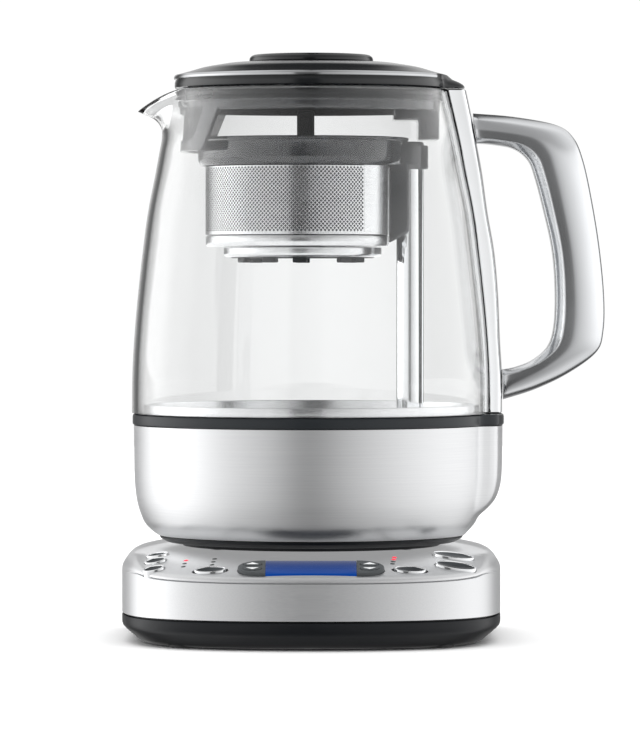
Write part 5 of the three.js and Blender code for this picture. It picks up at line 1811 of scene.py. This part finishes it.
def add_lid_band():
    """The band is turned, and the stretch over the tail is cut away with a bisecting plane."""
    profile = corner_profile(lid_band_corners, 4, lid_band_low + lid_band_rise, lid_band_high)
    band = turned("lid_ring", profile, jug_axis)
    take(band)
    bpy.ops.object.mode_set(mode="EDIT")
    bpy.ops.mesh.select_all(action="SELECT")
    edge = jug_axis.x + lid_band_end
    bpy.ops.mesh.bisect(plane_co=(edge, 0, 0), plane_no=(1, 0, 0), clear_outer=True, use_fill=True)
    bpy.ops.object.mode_set(mode="OBJECT")
    band.data.materials.append(band_metal)
    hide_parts("lid_band")
    return band


def add_knob():
    low, top = low_corner("lid_knob").z, high_corner("lid_knob").z
    knob = turned("knob", corner_profile(knob_corners, 5, low, top), jug_axis)
    knob.data.materials.append(lid_black)
    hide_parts("lid_knob")
    return knob


for piece, slot in ((add_dome(), "black_plastic"), (add_lid_band(), "polished_metal"),
                    (add_knob(), "black_plastic")):
    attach(piece, "lid")

# %% Skirt, guard and guide
skirt_radius = 57.6 * mm
skirt_wall = 2.2 * mm
skirt_bottom = 235.6 * mm
guard_bottom = 217.6 * mm
guard_top = skirt_bottom + 2 * mm
guard_flare = 1.2 * mm
guard_half = 35
guard_slant = 11
window_half = 25
guide_trim = 0.1 * mm
guide_trim_reach = 90 * mm
guide_trim_heights = (200 * mm, 260 * mm)
window_low = 222.6 * mm
window_high = 236.8 * mm
skirt_drop = 1.5 * mm
seal_gap = 0.35 * mm
strainer_gap = 0.15 * mm
strainer_wall = 0.5 * mm
# Corners of the skirt and of the seal, outwards from the skirt's radius and from the seal's
skirt_corners = [
    (-2.2, 0, 0, 0), (0, 0, 0, 0.6), (0, 2, 239.4, 0.2), (0.3, 2, 239.8, 0.2), (0.3, 2, 246, 0.2),
    (0, 2, 246.4, 0.2), (0, 1, 0, 0), (-2.2, 1, 0, 0), (-2.2, 0, 0, 0),
]
seal_corners = [
    (0, 0, 0, 0), (1.5, 0, 0, 0.4), (0.5, 0, 1.6, 0.3), (1.3, 0, 2, 0.4), (0.4, 1, 0, 0.3), (0, 1, 0, 0),
    (0, 0, 0, 0),
]
guide_outline = [(36.6, 246), (36.6, 231.8), (47.6, 231.8), (47.6, 223), (57, 223), (57, 246)]
guide_half_width = 12 * mm
guide_edge = 0.8 * mm
guard_edge = 0.4 * mm
window_reach = 3 * mm


def guard_reach(z):
    """Outer radius of the guard, which flares towards its foot."""
    return skirt_radius + guard_flare * max((guard_top - z) / (guard_top - guard_bottom), 0)


def guard_angle(half_degrees, z, share):
    """Angle on the guard; its ends lean outwards from foot to top."""
    lean = guard_slant * (z - guard_bottom) / (guard_top - guard_bottom)
    return radians(180 + mix(-half_degrees - lean, half_degrees + lean, share))


def curved_wall(name, half_degrees, low, high, offset, wall, steps=28):
    """A piece of the guard's wall round the jug's axis, moved out or in by an offset."""
    rings = []
    for k in range(steps + 1):
        share = k / steps
        ring = []
        for inset, z in ((0, low), (wall, low), (wall, high), (0, high)):
            r = guard_reach(z) + offset - inset
            angle = guard_angle(half_degrees, z, share)
            ring.append((jug_axis.x + r * cos(angle), jug_axis.y + r * sin(angle), z))
        rings.append(ring)
    return drawn(name, rings)


def add_skirt():
    profile = corner_profile(skirt_corners, 4, skirt_bottom, lid_band_low - skirt_drop, skirt_radius)
    ring = turned("skirt", profile, jug_axis)
    guard = bevelled(curved_wall("guard", guard_half, guard_bottom, guard_top, 0, skirt_wall), guard_edge, 3)
    for piece in (guard, ring):
        wall = skirt_wall + 2 * window_reach
        cut(piece, curved_wall("tool", window_half, window_low, window_high, window_reach, wall))
    guide = bevelled(standing("guide", guide_outline, guide_half_width), guide_edge, 4)
    low, high = guide_trim_heights
    near, far = skirt_radius - guide_trim, guide_trim_reach
    shaft = [(near, low), (far, low), (far, high), (near, high), (near, low)]
    cut(guide, turned("tool", shaft, jug_axis))
    skirt = joined("skirt", [ring, guard, guide])
    dress(skirt, skirt_grey, "lid", "lid_skirt")


def add_seal():
    low, top = low_corner("lid_seal").z, high_corner("lid_seal").z
    seal = turned("seal", corner_profile(seal_corners, 4, low, top, skirt_radius + seal_gap), jug_axis)
    dress(seal, seal_silicone, "lid", "lid_seal")


def add_strainer():
    columns, rows = 36, 9
    sheet = pierced_sheet("strainer", columns, rows, 0.3 * 0.5 / columns)
    for vertex in sheet.data.vertices:
        z = mix(window_low + strainer_gap, window_high - strainer_gap, vertex.co.y + 0.5)
        angle = guard_angle(window_half - 0.2, z, vertex.co.x + 0.5)
        radius = guard_reach(z) - skirt_wall / 2
        vertex.co = (jug_axis.x + radius * cos(angle), jug_axis.y + radius * sin(angle), z)
    walled(sheet, strainer_wall, 0)
    dress(sheet, skirt_grey, "lid", "spout_filter")


add_skirt()
add_seal()
add_strainer()
print("lid made")

# %% [markdown]
# ## Hidden pieces
# The pieces inside the base and the body keep their solids. They show only when the jug is taken apart,
# but each still gets the finish of the real thing.

# %% Finishes of the hidden pieces
board_green = moulded("coated circuit board", (0.015, 0.11, 0.05), 0.35, 0.05 * mm)
cast_zinc = moulded("cast heater metal", (0.55, 0.56, 0.57), 0.4, 0.03 * mm, Metallic=1.0)
turned_brass = moulded("turned brass", (0.72, 0.5, 0.22), 0.3, 0.01 * mm, Metallic=1.0)
hidden_finishes = {
    "control_board": board_green,
    "power_module": base_black,
    "power_socket": base_black,
    "heating_ring": cast_zinc,
    "heat_spreader": cast_zinc,
    "heat_sensor": turned_brass,
    "lift_screw": bright_metal,
    "screw_gear": nylon_white,
    "lift_shuttle": cast_zinc,
    "motor_pinion": turned_brass,
    "lift_motor": cast_zinc,
    "drive_bracket": base_black,
    "basket_magnet_front": cast_zinc,
    "basket_magnet_back": cast_zinc,
}
for node, made in hidden_finishes.items():
    frame["nodes"][node].data.materials.clear()
    frame["nodes"][node].data.materials.append(made)
print("hidden pieces finished:", len(hidden_finishes))

# %% [markdown]
# ## Studio
# A plain pale floor and soft light from both sides. The world is the room: bright walls at the sides,
# a dimmer zone where the camera stands, and a ceiling that is softer still. A white floor under soft light
# lets the shadow stay close to the base.

# %% Floor


def floor_white():
    made = finish("pale floor", (0.93, 0.93, 0.93), 0.9)
    tint(made, object_noise(made, (3, 3, 3)), (0.925, 0.925, 0.925), (0.935, 0.935, 0.935))
    return made


floor_size = 5
deselect()
bpy.ops.mesh.primitive_plane_add(size=floor_size, location=(0, 0, 0))
studio_floor = finished(start("studio_floor"))
studio_floor.data.materials.append(floor_white())

# %% World and lamps
ceiling_spread, ceiling_strength = 100, 2.2
panel_light_radius, panel_light_watts = 80 * mm, 0.027
panel_light_drop = 0.3 * mm
white_level = 1.02
sink_angle = radians(-35)
top_level = 4.0
level_low = [
    (-178.9, 0.96), (-178.2, 0.7), (-176, 0.64), (-172, 0.62), (-166, 0.55), (-161, 0.2), (-150, 0.12),
    (-142, 0.4),
    (-134, 1.4), (-118, 2.2), (-92, 2.2), (-78, 1.85), (-67, 1.45), (-50, 1.15), (-30, 1.02), (-16, 0.8),
    (-12, 0.18),
    (5, 0.14), (9, 0.6), (24, 0.85), (44, 1.1), (66, 1.36), (92, 1.6), (130, 1.6), (142, 0.35),
    (150, 0.1), (161, 0.16),
    (166, 0.55), (172, 0.62), (176, 0.66), (178.2, 0.74), (178.9, 0.96),
]
level_high = [
    (-180, 0.03), (-174, 0.05), (-166, 0.9), (-150, 1.1), (-110, 1.2), (-70, 1.0), (-30, 0.6), (0, 0.4),
    (30, 0.55),
    (70, 0.9), (110, 1.1), (150, 1.0), (166, 0.8), (174, 0.05), (180, 0.03),
]
high_start, high_end = radians(13), radians(26)
below_share = 0.6


def world_node(tree, kind, **values):
    node = tree.nodes.new(kind)
    for socket, value in values.items():
        node.inputs[socket.replace("_", " ")].default_value = value
    return node


def world_math(tree, operation, first, second=0.0):
    node = tree.nodes.new("ShaderNodeMath")
    node.operation = operation
    for socket, value in zip(node.inputs, (first, second)):
        if isinstance(value, float):
            socket.default_value = value
        else:
            tree.links.new(value, socket)
    return node.outputs[0]


def level_ramp(tree, share, levels):
    """Brightness by compass direction: minus and plus 180 lie behind the part, 0 at the camera."""
    ramp = tree.nodes.new("ShaderNodeValToRGB")
    ramp.color_ramp.interpolation = "LINEAR"
    while len(ramp.color_ramp.elements) < len(levels):
        ramp.color_ramp.elements.new(0.5)
    for element, (angle, level) in zip(ramp.color_ramp.elements, levels):
        element.position = (angle + 180) / 360
        element.color = (level / top_level, level / top_level, level / top_level, 1)
    tree.links.new(share, ramp.inputs["Fac"])
    return ramp.outputs["Color"]


def add_world():
    world = bpy.data.worlds.new("studio")
    bpy.context.scene.world = world
    world.use_nodes = True
    tree = world.node_tree
    back = tree.nodes["Background"]
    place = tree.nodes.new("ShaderNodeTexCoord")
    parts = tree.nodes.new("ShaderNodeSeparateXYZ")
    tree.links.new(place.outputs["Generated"], parts.inputs["Vector"])
    towards = world_math(tree, "MULTIPLY", parts.outputs["Y"], -1.0)
    compass = world_math(tree, "ARCTAN2", parts.outputs["X"], towards)
    share = world_math(tree, "MULTIPLY_ADD", compass, 1 / (2 * pi))
    share.node.inputs[2].default_value = 0.5
    rise = world_math(tree, "ARCSINE", parts.outputs["Z"])
    climb = world_node(tree, "ShaderNodeMapRange", From_Min=high_start, From_Max=high_end)
    climb.interpolation_type = "SMOOTHSTEP"
    tree.links.new(rise, climb.inputs["Value"])
    sky = tree.nodes.new("ShaderNodeMix")
    sky.data_type = "RGBA"
    colours = [socket for socket in sky.inputs if socket.type == "RGBA"]
    tree.links.new(climb.outputs["Result"], sky.inputs[0])
    tree.links.new(level_ramp(tree, share, level_low), colours[0])
    tree.links.new(level_ramp(tree, share, level_high), colours[1])
    sink = world_node(tree, "ShaderNodeMapRange", From_Min=sink_angle, From_Max=0.0,
                      To_Min=below_share * top_level, To_Max=top_level)
    tree.links.new(rise, sink.inputs["Value"])
    blended = [socket for socket in sky.outputs if socket.type == "RGBA"]
    tree.links.new(blended[0], back.inputs["Color"])
    tree.links.new(sink.outputs["Result"], back.inputs["Strength"])
    plain = world_node(tree, "ShaderNodeBackground", Color=(1, 1, 1, 1), Strength=white_level)
    path = tree.nodes.new("ShaderNodeLightPath")
    choice = tree.nodes.new("ShaderNodeMixShader")
    tree.links.new(path.outputs["Is Camera Ray"], choice.inputs["Fac"])
    tree.links.new(back.outputs["Background"], choice.inputs[1])
    tree.links.new(plain.outputs["Background"], choice.inputs[2])
    tree.links.new(choice.outputs["Shader"], tree.nodes["World Output"].inputs["Surface"])


def add_ceiling_light(spread_degrees, strength):
    """Even light from above: it reaches the floor and the soft shadow, and shows in no reflection."""
    data = bpy.data.lights.new("ceiling light", "SUN")
    data.angle = radians(spread_degrees)
    data.energy = strength
    lamp = bpy.data.objects.new("ceiling light", data)
    lamp.location = (0, 0, 2)
    lamp.visible_glossy = False
    lamp.visible_transmission = False
    bpy.context.scene.collection.objects.link(lamp)


def add_panel_light(radius, watts):
    """A round lamp close under the jug: it keeps the sloping panel from mirroring the black underside."""
    data = bpy.data.lights.new("panel light", "AREA")
    data.shape = "DISK"
    data.size = 2 * radius
    data.energy = watts
    lamp = bpy.data.objects.new("panel light", data)
    lamp.location = (jug_axis.x, jug_axis.y, low_corner("jug_underside").z - panel_light_drop)
    lamp.visible_camera = False
    bpy.context.scene.collection.objects.link(lamp)


add_world()
add_ceiling_light(ceiling_spread, ceiling_strength)
add_panel_light(panel_light_radius, panel_light_watts)
studio_floor.visible_glossy = False
bpy.context.scene.view_settings.view_transform = "Standard"
bpy.context.scene.view_settings.look = "None"
